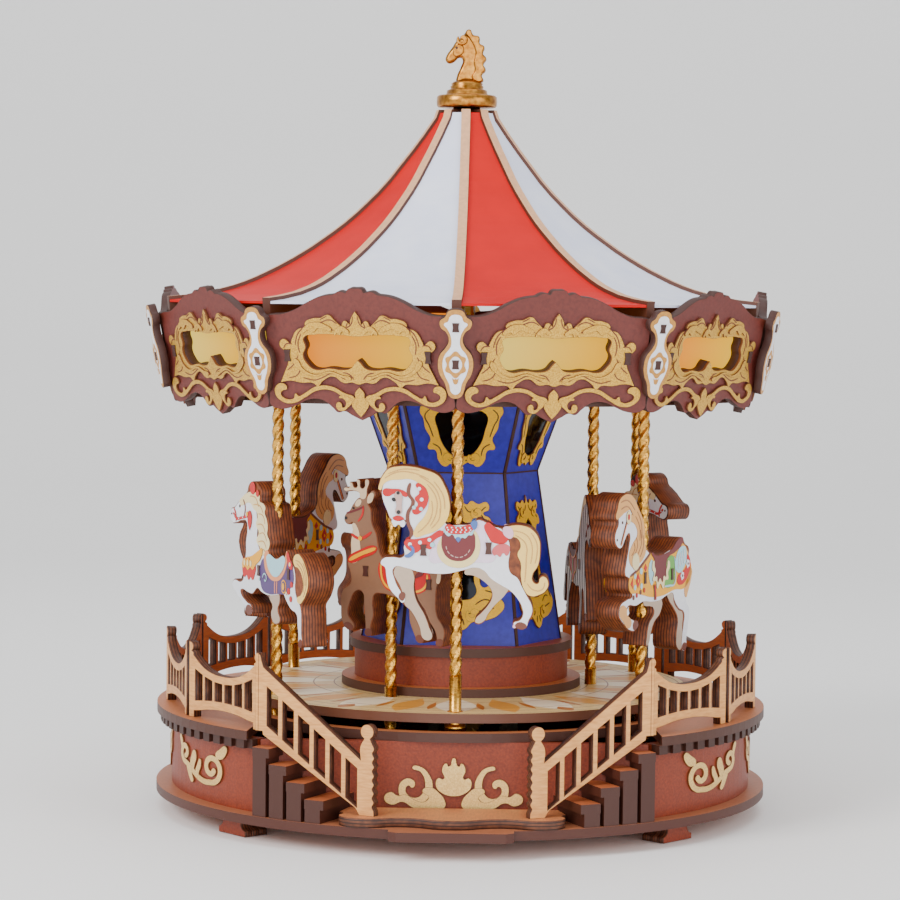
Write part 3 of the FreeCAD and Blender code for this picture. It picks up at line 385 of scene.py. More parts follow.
def volute(x, y, radius, start, sweep, steps=14):
    """Points of a scroll that winds inward round a centre."""
    return [(x + radius * (1 - 0.8 * t) * math.cos(math.radians(start + sweep * t)),
             y + radius * (1 - 0.8 * t) * math.sin(math.radians(start + sweep * t)))
            for t in (n / steps for n in range(steps + 1))]


for side in (1, -1):
    cut_board(kit, shifted(c_scroll, 7.5 * side, 6.5, 0.9 * side, 0.95), 0.8, pale_gold, gold_edge, front)
    cut_board(kit, shifted(leaf_scroll, 2.6 * side, 3.2, 0.95 * side, 0.8), 0.9, pale_gold, gold_edge, front)
cut_board(kit, shifted(palmette, 0, 6.5), 1.0, pale_gold, gold_edge, front)
stem = volute(-8.6, 2.0, 3.0, -90, -400)[::-1] + [(-5.4, -1.8), (-1.6, -3.8), (2.4, -5.0)] + volute(6.4, -0.4,
    4.6, -100, 470)
leaves = [[(-5.0, -1.4), (-4.6, 1.2), (-2.4, 3.8), (-1.4, 1.6), (-2.2, -0.6), (-3.2, -2.4)],
          [(-1.8, -3.0), (-0.8, -0.4), (0.8, 1.6), (1.2, -0.6), (0.2, -2.6), (-0.4, -4.0)],
          [(-7.4, -1.0), (-6.6, -4.0), (-3.2, -6.4), (-4.0, -3.8), (-4.6, -1.8)],
          [(9.4, 2.8), (12.4, 4.4), (12.8, 7.2), (10.2, 6.2), (8.2, 3.8)],
          [(-10.4, 4.2), (-12.8, 7.0), (-12.0, 3.8), (-11.2, 2.4)]]
WALL = 98.5
wrapped = new_kit()
wrapped["finishes"] = kit["finishes"]
unrolled = Matrix.Scale(MM, 4)
for azimuth, stretch in ((58, -1.35), (-58, 1.35), (84, 1), (98, -1), (-84, -1), (-98, 1), (128, 1), (142, -1),
    (-128, -1), (-142, 1),
                         (173, -1), (-173, 1)):
    along = math.radians(azimuth) * WALL
    for shape in (stroke(stem, 1.9), *leaves):
        cut_board(wrapped, shifted(shape, along, 20.8, stretch, 1.05), 0.8, pale_gold, gold_edge, unrolled)
for vert in wrapped["mesh"].verts:
    turn, reach = vert.co.x / (WALL * MM), WALL * MM + vert.co.z
    vert.co = (reach * math.sin(turn), -reach * math.cos(turn), vert.co.y)
sheet = bpy.data.meshes.new("wrapped")
wrapped["mesh"].to_mesh(sheet)
wrapped["mesh"].free()
kit["mesh"].from_mesh(sheet)
bpy.data.meshes.remove(sheet)
build(kit, "gilt_scrollwork", "base", ["base_scrollwork"])

# Spring movement: steel and brass parts of a stock eighteen-note unit, screwed
# to the bottom board under the stage.
steel = surface("brushed_steel", rgb(176, 178, 184), 0.32, metallic=1.0, vary=0.2, scale=900,
    stretch=(1, 12, 1))
movement_brass = surface("movement_brass", rgb(205, 168, 92), 0.28, metallic=1.0, vary=0.2, scale=700)
for node in ("music_comb", "movement_screws", "winding_key", "spindle", "governor_fan"):
    dress(node, steel)
for node in ("music_cylinder", "spring_barrel"):
    dress(node, movement_brass)
dress("movement_bedplate", surface("cast_bedplate", rgb(128, 118, 100), 0.55, metallic=0.8, scale=1600,
    bump=0.6))
dress("battery_tray", surface("tray_plastic", rgb(28, 28, 30), 0.5, scale=1800))

# Turntable: one round board printed with marquetry, rings of petals and
# kite shapes in pale and honey-coloured wood.
marquetry = edge_by_slope("marquetry_print", rgb(240, 206, 138), rgb(96, 52, 30), roughness=0.4)
nodes, links = marquetry.node_tree.nodes, marquetry.node_tree.links
coords = next(n for n in nodes if n.type == "TEX_COORD")


def maths(operation, first, second=None, third=None):
    node = nodes.new("ShaderNodeMath")
    node.operation = operation
    for socket, value in zip(node.inputs, (first, second, third)):
        if value is None:
            continue
        if isinstance(value, (int, float)):
            socket.default_value = value
        else:
            links.new(value, socket)
    return node.outputs[0]


def paint_over(below, colour, mask):
    mix = nodes.new("ShaderNodeMix")
    mix.data_type = "RGBA"
    links.new(mask, mix.inputs["Factor"])
    links.new(below, mix.inputs["A"])
    mix.inputs["B"].default_value = colour
    return mix.outputs["Result"]


split = nodes.new("ShaderNodeSeparateXYZ")
links.new(coords.outputs["Object"], split.inputs["Vector"])
radius = maths("MULTIPLY", maths("SQRT", maths("ADD", maths("POWER", maths("ABSOLUTE", split.outputs[0]), 2.0),
                                              maths("POWER", maths("ABSOLUTE", split.outputs[1]), 2.0))), 1000)
angle = maths("ARCTAN2", split.outputs[0], maths("MULTIPLY", split.outputs[1], -1))


def within(value, low, high):
    return maths("MULTIPLY", maths("GREATER_THAN", value, low), maths("LESS_THAN", value, high))


def petals(count, inner, outer, turn, sharp):
    """Mask of leaves that swell and close between two radii."""
    swing = maths("ABSOLUTE", maths("SINE", maths("ADD", maths("MULTIPLY", angle, count / 2), turn)))
    span = maths("DIVIDE", maths("SUBTRACT", radius, inner), outer - inner)
    belly = maths("SINE", maths("MULTIPLY", maths("MINIMUM", maths("MAXIMUM", span, 0), 1), math.pi))
    return maths("LESS_THAN", swing, maths("MULTIPLY", belly, sharp))


mix_edge = next(n for n in nodes if n.type == "MIX")
tone = mix_edge.inputs["A"].links[0].from_socket
honey, ochre, line = rgb(226, 158, 58), rgb(186, 108, 28), rgb(150, 90, 36)
tone = paint_over(tone, rgb(255, 240, 206), petals(12, 41, 75, 0.0, 0.62))
tone = paint_over(tone, honey, petals(12, 44, 74, math.pi / 2, 0.45))
tone = paint_over(tone, ochre, petals(24, 52, 68, math.pi / 2, 0.24))
tone = paint_over(tone, ochre, petals(12, 66, 75.5, 0.0, 0.22))
for ring in (43.5, 50.5, 64.5, 70.0, 75.2):
    tone = paint_over(tone, line, within(radius, ring - 0.22, ring + 0.22))
links.new(tone, mix_edge.inputs["A"])
dress("turntable", marquetry)

# Column: twelve bevelled boards painted royal blue, with the scorched edges
# showing as dark lines at the corners and at the waist.
royal = surface("royal_blue_paint", rgb(38, 36, 186), 0.42, dark=rgb(26, 24, 160), scale=500, bump=0.12)
dress("column_boards", royal)
CORNERS = [-34.5, 34.5, 85.5, 154.5, 205.5, 274.5]
TIERS = [(57.7, 34.2, 115.0, 25.6), (115.0, 25.6, 140.0, 34.6)]
joint_dark = surface("scorched_joint", rgb(64, 30, 22), 0.6)
kit = new_kit()
for low, low_radius, high, high_radius in TIERS:
    for corner in CORNERS:
        foot_point, head_point = polar(low_radius + 0.12, corner, low), polar(high_radius + 0.12, corner, high)
        up = (head_point - foot_point).normalized()
        length = (head_point - foot_point).length
        across = up.cross(polar(1, corner)).normalized()
        strip = [(-0.55, 0, 1), (0.55, 0, 1), (0.55, length, 1), (-0.55, length, 1)]
        cut_board(kit, strip, 0.8, joint_dark, joint_dark, seat(foot_point, across, up), base=-0.72, bevel=0.05)
for index, corner in enumerate(CORNERS):
    following = CORNERS[(index + 1) % 6] + (360 if index == 5 else 0)
    first, second = polar(25.75, corner, 115), polar(25.75, following, 115)
    width = (second - first).length
    belt = [(0, -0.3, 1), (width, -0.3, 1), (width, 0.3, 1), (0, 0.3, 1)]
    cut_board(kit, belt, 0.3, joint_dark, joint_dark, seat(first, second - first, UP), base=-0.2, bevel=0.05)
build(kit, "column_joint_lines", "carousel")

# Cartouches: gilt leaf frames glued round dark mirrors on every column board.
mirror_glass = surface("dark_mirror", rgb(26, 28, 34), 0.06, metallic=0.85, vary=0.1, scale=60, bump=0.0)
gilt_print = surface("gilt_print", rgb(255, 206, 10), 0.45, metallic=0.1, vary=0.3, scale=2200, bump=0.35,
    dark=rgb(238, 176, 10))
low_mirror = both_sides([(0, 42, 1), (3.2, 39.6), (4.9, 36), (5.4, 30), (4.9, 22), (5.6, 17), (0, 15.2)])
low_frame = both_sides([(0, 50, 1), (1.8, 47.2), (3.4, 48.4), (5.8, 47.4), (8.6, 48), (9.4, 45.4), (7.6, 44.2),
    (9.8, 42.6),
                        (9.9, 40.0), (7.2, 39.4), (6.6, 36), (6.9, 30), (6.6, 24), (7.6, 19.6), (10.6, 20.0),
                            (12.4, 17.0),
                        (15.0, 13.6), (13.4, 10.6), (9.0, 8.4), (4.2, 7.6), (2.2, 5.6), (0, 4.6, 1)])
high_mirror = both_sides([(0, 21.4), (8.6, 21.2), (8.2, 15), (6.0, 9.4), (3.0, 6.6), (0, 6.2)])
high_frame = both_sides([(0, 23.4), (9.0, 23.8), (12.8, 24.4), (14.0, 22.0), (12.8, 19.4), (12.2, 16),
    (10.4, 12.2), (11.2, 8.8),
                         (8.8, 8.2), (7.8, 4.6), (5.4, 2.4), (2.8, 4.0), (0, 2.6, 1)])
CHASING = [[[(8.4, 46.4), (6.8, 44.6), (8.0, 42.0)], [(1.2, 46.6), (3.0, 44.6), (5.4, 46.0)], [(6.2, 38),
    (5.9, 33), (6.0, 26), (7.0, 20.8)],
            [(8.4, 18.4), (11.0, 17.6), (13.0, 14.6)], [(3.0, 10.6), (7.0, 11.6), (11.6, 12.6)], [(5.2, 13.6),
                (8.2, 15.4), (10.4, 15.0)],
            [(1.0, 9.0), (1.6, 6.8)]],
           [[(10.4, 22.8), (12.2, 20.6), (10.8, 17.0), (9.4, 13.0)], [(9.6, 10.6), (7.4, 9.2), (6.6, 6.4)],
               [(3.4, 5.4), (1.2, 4.6)]]]
curl = [(0, 0), (2.6, -0.8), (4.8, 0.8), (4.6, 3.2), (2.4, 4.0), (1.4, 2.4), (2.8, 1.8), (2.6, 0.9), (0.9, 1.4),
    (0.6, 3.4), (-0.4, 1.8)]
kit, glass = new_kit(), new_kit()
for tier, (low, low_radius, high, high_radius) in enumerate(TIERS):
    for index, corner in enumerate(CORNERS):
        following = CORNERS[(index + 1) % 6] + (360 if index == 5 else 0)
        a, b = polar(low_radius, corner, low), polar(low_radius, following, low)
        c, d = polar(high_radius, corner, high), polar(high_radius, following, high)
        middle, up = (a + b) / 2, ((c + d) / 2 - (a + b) / 2)
        place = seat(middle, b - a, up)
        if (place.to_3x3() @ UP).dot(Vector((middle.x, middle.y, 0))) < 0:
            place = seat(middle, a - b, up)
        narrow = 1.0 if index % 2 == 0 else 0.72
        for line in CHASING[tier]:
            for side in (1, -1):
                path = [(x * side * narrow, y) for x, y in line]
                cut_board(kit, stroke(path, 0.4), 0.12, joint_dark, joint_dark, place, base=0.73, bevel=0.02)
        mirror, border = (low_mirror, low_frame) if tier == 0 else (high_mirror, high_frame)
        cut_board(glass, shifted(mirror, 0, 0, narrow), 0.3, mirror_glass, joint_dark, place, base=0.05,
            bevel=0.05)
        cut_board(kit, shifted(border, 0, 0, narrow), 0.7, gilt_print, gold_edge, place,
                  [shifted(mirror, 0, 0, narrow * 0.94)], base=0.05)
        for side in (1, -1):
            for dx, dy, scale in (((2.4, 8.6, 0.9), (3.6, 43.0, 0.7)) if tier == 0 else ((2.2, 4.2, 0.8),)):
                curled = shifted(curl, dx * side * narrow, dy, side * scale * narrow, scale)
                cut_board(kit, curled, 0.4, gilt_print, gold_edge, place, base=0.72, bevel=0.06)
build(kit, "gilt_cartouches", "carousel", ["column_cartouches"])
build(glass, "mirror_plates", "carousel", ["column_mirrors"])

# Canopy frame: a ten-sided floor board and ten ribs with tan outer edges; the
# faces of the ribs are darkened as painted shade under the roof.
dress("canopy_floor", deck_finish)
# Side-facing rib faces take the dark colour as painted shade; the up- and down-facing edges stay tan.
rib_tan_edges_and_painted_shade = edge_by_slope("rib_board_painted_shade", rgb(226, 172, 128), rgb(84, 42, 26), axis=2, limit=0.25)
dress("canopy_ribs", rib_tan_edges_and_painted_shade)

# Roof: satin sheet panels, red and pale by turns, sprung into the ribs.
red_satin = surface("red_satin_sheet", rgb(206, 0, 0), 0.6, dark=rgb(196, 0, 0), scale=90, bump=0.03)
white_satin = surface("pale_satin_sheet", rgb(232, 236, 252), 0.5, dark=rgb(220, 226, 248), scale=90, bump=0.03)
for mat in (red_satin, white_satin):
    mat.node_tree.nodes["Principled BSDF"].inputs["Specular IOR Level"].default_value = 0.25
dress("roof_panels_red", red_satin)
dress("roof_panels_white", white_satin)

# Fascia: ten plum boards leaning outward, each with a crown crest above and
# lobes below, pierced by a wide window that glows.
plum = surface("plum_board", rgb(108, 44, 36), 0.55, dark=rgb(92, 36, 30), scale=900, bump=0.15)
amber = surface("glowing_window", rgb(96, 52, 4), 0.8)
shader = amber.node_tree.nodes["Principled BSDF"]
glow = amber.node_tree.nodes.new("ShaderNodeAttribute")
glow.attribute_name = "glow"
warm = amber.node_tree.nodes.new("ShaderNodeValToRGB")
warm.color_ramp.elements[0].color = rgb(255, 126, 0)
warm.color_ramp.elements[1].color = rgb(255, 232, 110)
middle_stop = warm.color_ramp.elements.new(0.5)
middle_stop.color = rgb(255, 190, 0)
amber.node_tree.links.new(glow.outputs["Fac"], warm.inputs["Fac"])
amber.node_tree.links.new(warm.outputs["Color"], shader.inputs["Emission Color"])
shader.inputs["Emission Strength"].default_value = 1.15
HALF_TURN = math.radians(18)
BOTTOM, TOP, LOW_R, HIGH_R = 138.4, 173.6, 100.4, 107.5
low_run, high_run = LOW_R * math.cos(HALF_TURN), HIGH_R * math.cos(HALF_TURN)
lean = math.atan2(high_run - low_run, TOP - BOTTOM)
board_half = [(0, 38.6), (2.2, 38.4), (3.0, 37.2, 1), (5.4, 37.6), (7.4, 36.6, 1), (11.5, 36.0), (16.0, 34.2),
    (20.0, 32.0),
              (24.5, 30.4), (29.0, 30.0), (31.2, 29.4, 1), (30.6, 27.0), (30.9, 4.0), (30.8, 1.4), (28.4, 0.0),
                  (24.6, 0.2),
              (21.0, 1.6), (17.0, 3.2), (13.0, 3.0), (9.8, 0.8), (8.0, -0.8), (5.6, -0.4), (3.4, -1.6),
                  (0, -3.2, 1)]
window_half = [(0, 23.6), (4.5, 24.0), (9.0, 24.2), (14.0, 24.0), (17.6, 23.0), (17.2, 20.0), (18.2, 17.4),
    (16.8, 14.6),
               (14.6, 13.0), (9.5, 13.4), (5.0, 13.0), (2.4, 13.6), (1.0, 15.2), (0, 16.2, 1)]
frame_half = [(0, 31.6, 1), (1.6, 29.0), (1.9, 27.4, 1), (3.6, 28.6), (4.8, 26.8, 1), (7.0, 28.8), (8.8, 30.4),
    (11.6, 29.4, 1), (14.4, 29.2),
              (17.0, 27.6), (16.6, 26.4, 1), (19.6, 25.6), (21.6, 22.6), (22.2, 21.0, 1), (24.6, 22.6),
                  (26.0, 20.8), (24.2, 18.4), (23.4, 15.4),
              (24.6, 12.4), (26.4, 8.6, 1), (23.2, 9.2), (19.0, 8.6), (15.4, 8.6), (13.8, 7.6), (12.2, 9.2),
                  (8.6, 10.8), (5.0, 8.8), (2.2, 9.0), (0, 8.4)]
crest_leaf = [(0, 0), (2.2, 2.6), (5.6, 3.4), (8.6, 2.0), (9.8, -0.8), (7.6, 0.2), (6.4, -0.8), (4.4, 1.0),
    (2.2, 0.2)]
rail_line = [(2.6, 9.8), (5.2, 10.6), (9.6, 11.9), (14.6, 10.8), (19.0, 12.4), (21.4, 16.0), (20.6, 16.4),
    (18.2, 13.2), (14.4, 11.5), (9.4, 12.6),
             (5.0, 11.3), (2.4, 10.6)]
garland = [(2.0, 2.4), (5.4, 4.2), (9.6, 6.4), (14.2, 6.2), (18.6, 3.8), (22.4, 2.0), (26.2, 2.4), (28.6, 5.2),
    (27.8, 7.8), (25.2, 8.2),
           (24.4, 6.6), (25.8, 6.0), (26.6, 5.0), (25.4, 3.6), (22.4, 3.6), (21.6, 5.2), (20.6, 4.4),
               (18.8, 5.2), (14.4, 7.6), (9.4, 7.7), (5.0, 5.6), (1.8, 4.2)]
hook = [(2.6, 3.4), (4.2, 1.0), (6.4, -0.2), (8.2, 1.2), (7.2, 2.8), (6.2, 2.0), (6.0, 1.0), (4.8, 2.2),
    (5.6, 3.8), (7.0, 4.2), (5.8, 5.0), (4.0, 4.6)]
diamond = both_sides([(0, 8.2, 1), (1.6, 6.2), (1.6, 4.6), (2.9, 3.0), (1.8, 0.6), (0, -1.4, 1)])
ENGRAVING = [[(0.8, 30.0), (1.4, 27.6), (3.4, 26.2), (5.6, 25.6)], [(6.2, 27.6), (8.4, 28.8), (11.4, 28.0),
    (14, 26.6)],
             [(7.4, 25.4), (10.4, 26.8), (13.6, 25.6)], [(15.2, 27.8), (17.6, 26.2), (19.6, 24.0),
                 (20.6, 20.6)],
             [(18.4, 24.2), (19.6, 21.4), (19.2, 18.2)], [(21.6, 21.0), (23.6, 21.0), (24.6, 19.6)],
                 [(19.8, 17.4), (21.6, 14.4), (23.8, 12.6)],
             [(19.0, 14.2), (20.4, 11.2), (23.4, 10.2)], [(4.6, 10.0), (8.6, 11.8), (12.2, 10.4), (15.0, 9.6),
                 (18.6, 10.4)],
             [(1.6, 10.0), (3.0, 11.6), (5.2, 12.2)], [(2.6, 28.0), (3.2, 26.6)], [(9.4, 30.0), (11.8, 28.8)]]
kit, gold, panes = new_kit(), new_kit(), new_kit()
for number in range(10):
    out = polar(1, 36 * number + 18)
    up = UP * math.cos(lean) + out * math.sin(lean)
    place = seat(out * low_run + UP * BOTTOM, UP.cross(out), up)
    cut_board(kit, both_sides(board_half), 3, plum, joint_dark, place, [both_sides(window_half)], base=-3)
    cut_board(gold, both_sides(frame_half), 0.9, gold_leaf, gold_edge, place, [both_sides(window_half)],
        base=0.05)
    cut_board(gold, shifted(diamond, 0, -0.6), 0.9, gold_leaf, gold_edge, place, base=0.05)
    for side in (1, -1):
        for outline, level in ((garland, 0.05), (hook, 0.1), (shifted(crest_leaf, 8.0, 25.4, 1, 0.8), 0.9),
                               (shifted(crest_leaf, 2.2, 24.6, 0.5, 0.7), 0.9), (rail_line, 0.9)):
            cut_board(gold, shifted(outline, 0, 0, side), 0.5 if level > 0.5 else 0.8, gold_leaf, gold_edge,
                place,
                      base=level, bevel=0.08)
        for line in ENGRAVING:
            cut_board(gold, stroke([(x * side, y) for x, y in line], 0.34), 0.12, plum, plum, place, base=0.94,
                bevel=0.02)
        tenon = shifted([(-1.1, -1.9, 1), (1.1, -1.9, 1), (0.8, 0), (1.1, 1.9, 1), (-1.1, 1.9, 1), (-0.8, 0)],
            23.4 * side, 17.4)
        cut_board(gold, tenon, 0.5, joint_dark, joint_dark, place, base=0.9, bevel=0.05)
    pane = [(x, y, 1) for x, y in ((-22, 11), (22, 11), (22, 29), (-22, 29))]
    cut_board(panes, pane, 1.0, amber, amber, place, base=-4.05)
build(kit, "fascia_crested", "carousel", ["fascia_boards"])
build(gold, "fascia_giltwork", "carousel", ["fascia_frames"])
windows = build(panes, "window_panes", "carousel", ["fascia_windows"])
light = windows.data.attributes.new("glow", "FLOAT", "POINT")
for vert, value in zip(windows.data.vertices, light.data):
    azimuth = math.atan2(vert.co.x, -vert.co.y)
    value.value = 0.5 + 0.5 * math.cos(5 * (azimuth - math.radians(10)))
dress("lamp_ring", amber)

# Corner plaques: skittle-shaped boards that cover the fascia's joints, printed
# white with an ochre border and a quatrefoil ring, held by two dark tenons.
ochre_print = surface("ochre_print", rgb(204, 146, 62), 0.45, dark=rgb(176, 120, 48), scale=1500)
white_print = surface("white_print", rgb(240, 240, 244), 0.5, dark=rgb(226, 228, 236), scale=1500)
plaque_half = [(0, 33.0), (2.3, 32.4), (3.4, 30.6), (4.9, 29.4), (4.6, 27.2), (3.0, 25.8), (2.2, 23.4),
    (2.9, 21.4), (4.9, 18.8),
               (5.5, 15.8), (4.8, 12.4), (3.4, 10.0), (2.6, 7.2), (1.9, 5.8), (0, 5.0)]
field_half = [(0, 31.4), (1.7, 30.8), (2.4, 29.2), (3.6, 28.4), (2.6, 27.0), (1.4, 24.2), (1.5, 21.4),
    (3.4, 18.6),
              (4.0, 15.8), (3.4, 12.8), (1.9, 9.6), (1.2, 7.0), (0, 6.4)]
quatrefoil = both_sides([(0, 20.0), (1.7, 18.6), (3.1, 17.8), (2.7, 15.8), (3.1, 13.8), (1.7, 13.0), (0, 11.6)])
inner_ring = both_sides([(0, 18.4), (1.6, 17.2), (2.0, 15.8), (1.6, 14.4), (0, 13.2)])
tiny_leaf = both_sides([(0, 9.6), (1.1, 11.6, 1), (0.3, 11.2), (0, 11.4)])
kit = new_kit()
corner_lean = math.atan2(HIGH_R - LOW_R, TOP - BOTTOM)
for number in range(10):
    out = polar(1, 36 * number)
    up = UP * math.cos(corner_lean) + out * math.sin(corner_lean)
    place = seat(out * (LOW_R + 0.3) + UP * BOTTOM, UP.cross(out), up)
    cut_board(kit, both_sides(plaque_half), 2.6, ochre_print, joint_dark, place)
    cut_board(kit, both_sides(field_half), 0.15, white_print, white_print, place, base=2.6, bevel=0.03)
    cut_board(kit, quatrefoil, 0.15, ochre_print, ochre_print, place, [inner_ring], base=2.75, bevel=0.03)
    cut_board(kit, tiny_leaf, 0.15, ochre_print, ochre_print, place, base=2.75, bevel=0.03)
    for height in (15.8, 27.4):
        tenon = shifted([(-1.1, -1.4, 1), (1.1, -1.4, 1), (0.9, 0), (1.1, 1.4, 1), (-1.1, 1.4, 1), (-0.9, 0)],
            0, height)
        cut_board(kit, tenon, 0.3, joint_dark, joint_dark, place, base=2.75, bevel=0.05)
build(kit, "skittle_plaques", "carousel", ["corner_plaques"])

# Cap: a turned and gilded button with stepped mouldings that locks the ribs.
pole_gold = surface("brushed_gold", rgb(238, 184, 84), 0.26, metallic=1.0, vary=0.25, scale=500,
    stretch=(1, 1, 4), dark=rgb(186, 124, 40))
cap_bronze = surface("cap_bronze", rgb(206, 146, 66), 0.3, metallic=1.0, vary=0.3, scale=700,
    dark=rgb(150, 92, 30))
cap_mesh = bmesh.new()
profile = [(4.6, 218.4), (4.6, 238.3), (9.8, 238.3), (10.2, 238.8), (10.3, 240.2), (10.2, 241.8), (9.6, 242.3),
    (7.4, 242.4),
           (7.0, 243.0), (6.8, 244.0), (6.0, 244.3), (5.5, 244.6), (5.7, 245.3), (5.2, 245.7), (5.4, 246.3),
               (4.6, 246.9), (2.4, 248.0), (0, 248.2)]
ring = [cap_mesh.verts.new((r * MM, 0, z * MM)) for r, z in profile]
edges = [cap_mesh.edges.new(pair) for pair in zip(ring, ring[1:])]
bmesh.ops.spin(cap_mesh, geom=ring + edges, cent=(0, 0, 0), axis=(0, 0, 1), angle=math.tau, steps=48,
    use_merge=True)
bmesh.ops.remove_doubles(cap_mesh, verts=cap_mesh.verts, dist=1e-6)
rim = [e for e in cap_mesh.edges if e.is_boundary]
bmesh.ops.holes_fill(cap_mesh, edges=rim)
bmesh.ops.recalc_face_normals(cap_mesh, faces=cap_mesh.faces)
build({"mesh": cap_mesh, "finishes": [cap_bronze]}, "turned_cap", "carousel", ["roof_cap"], smooth=True)

# Finial: a cast horse head in brushed gold, with a curled forelock and a wavy
# mane down the back of the neck.
head = [(-3.4, 0), (3.4, 0), (4.4, 3.0), (4.9, 6.6), (4.6, 10.6), (3.0, 14.2), (1.0, 16.2), (-0.6, 17.6, 1),
    (-1.6, 16.2), (-3.6, 14.6),
        (-5.2, 12.2), (-7.0, 9.6), (-7.3, 8.0), (-6.2, 7.0), (-4.4, 7.6), (-2.6, 9.0), (-1.6, 8.4), (-2.2, 5.6),
            (-3.4, 2.8)]
mane = [(1.6, 2.0), (5.4, 1.0), (5.0, 3.2), (6.3, 4.8), (5.5, 6.8), (6.5, 8.6), (5.3, 10.4), (5.8, 12.6),
    (4.2, 13.8), (4.0, 16.0),
        (2.0, 16.6), (0.8, 18.4), (-0.6, 17.4), (0.6, 15.4), (2.0, 13.2), (2.8, 10.4), (2.2, 7.4), (2.6, 4.6)]
kit = new_kit()
stand = seat((0, 0, 246.1), (1, 0, 0), UP)
cut_board(kit, head, 4.4, cap_bronze, cap_bronze, stand, base=-2.2, bevel=0.9)
for base in (-3.0, 1.0):
    cut_board(kit, mane, 2.0, cap_bronze, cap_bronze, stand, base=base, bevel=0.5)
for side in (1, -1):
    level = 2.1 if side > 0 else -3.1
    cut_board(kit, [(-4.4, 9.4), (-2.2, 9.6), (-1.0, 11.6), (-2.4, 13.4), (-4.2, 12.4)], 1.0, cap_bronze,
        cap_bronze, stand, base=level, bevel=0.4)
    cut_board(kit, shifted(curl, -3.4, 13.6, 0.7, 0.7), 1.2, cap_bronze, cap_bronze, stand, base=level,
        bevel=0.3)
    cut_board(kit, [(-3.9, 12.3), (-3.3, 12.5), (-3.2, 11.9), (-3.8, 11.7)], 1.3, joint_dark, joint_dark, stand,
        base=level, bevel=0.1)
build(kit, "horse_head_cast", "carousel", ["horse_head_finial"])

# Poles: twisted gilt rods that slide in the stage and the canopy floor, with a
# plain foot below the stage and a collar that stops the rod's travel.
POLES = [("outer_pole_1", 69.8, 0, 11, "white_horse_front"), ("outer_pole_2", 69.8, 60, 2,
    "blanket_horse_right"),
         ("outer_pole_3", 69.8, 120, 6, "pompom_horse_right"), ("outer_pole_4", 69.8, 180, 9,
             "white_horse_rear"),
         ("outer_pole_5", 69.8, 240, 8, "blanket_horse_left"), ("outer_pole_6", 69.8, 300, 5,
             "pompom_horse_left"),
         ("inner_pole_1", 44.5, 330, 3, "deer_front"), ("inner_pole_2", 44.5, 90, 5, "zebra"),
         ("inner_pole_3", 44.5, 210, 7, "deer_rear")]
POLE_FOOT, TWIST_START, TWIST_LENGTH, TURNS = 32.6, 32.4, 106.6, 7.6
SECTION_POINTS, ROPE_STRANDS, TWIST_STEPS = 15, 3, 110
MEAN_RADIUS, STRAND_HEIGHT, FOOT_RADIUS, COLLAR_RADIUS, COLLAR_HEIGHT = 1.82, 0.27, 2.0, 3.5, 16.1
for node, circle, azimuth, lift, animal in POLES:
    rod = bmesh.new()
    lobes = []
    for i in range(SECTION_POINTS):
        a = math.tau * i / SECTION_POINTS
        r = (MEAN_RADIUS + STRAND_HEIGHT * math.cos(ROPE_STRANDS * a)) * MM
        lobes.append(rod.verts.new((r * math.cos(a), r * math.sin(a), TWIST_START * MM)))
    section = [rod.edges.new((lobes[i], lobes[(i + 1) % SECTION_POINTS])) for i in range(SECTION_POINTS)]
    bmesh.ops.spin(rod, geom=lobes + section, cent=(0, 0, 0), axis=(0, 0, 1), dvec=(0, 0,
        TWIST_LENGTH * MM / TWIST_STEPS),
                            angle=math.tau * TURNS, steps=TWIST_STEPS, use_merge=False)
    bmesh.ops.holes_fill(rod, edges=[e for e in rod.edges if e.is_boundary])
    foot_rod = bmesh.ops.create_cone(rod, cap_ends=True, segments=20, radius1=FOOT_RADIUS * MM,
        radius2=FOOT_RADIUS * MM, depth=POLE_FOOT * MM)
    bmesh.ops.translate(rod, verts=foot_rod["verts"], vec=(0, 0, POLE_FOOT / 2 * MM))
    collar = bmesh.ops.create_cone(rod, cap_ends=True, segments=20, radius1=COLLAR_RADIUS * MM,
        radius2=COLLAR_RADIUS * MM, depth=2 * MM)
    bmesh.ops.translate(rod, verts=collar["verts"], vec=(0, 0, COLLAR_HEIGHT * MM))
    bmesh.ops.recalc_face_normals(rod, faces=rod.faces)
    rod.transform(Matrix.Translation(polar(circle, azimuth, 9.3 + lift) * MM))
    build({"mesh": rod, "finishes": [pole_gold]}, "twisted_" + node, animal + "_rider", [node],
        smooth=True)


# Animals: laser-cut plywood silhouettes built up from stacked layers, with a
# scorched brown edge all round and printed faces inlaid on both sides.
THICK, INLAY, INLAY_STEP = 9.3, 0.2, 0.1


def enamel(name, colour, roughness=0.42):
    return bpy.data.materials.get(name) or surface(name, colour, roughness, vary=0.06, scale=700, bump=0.08)


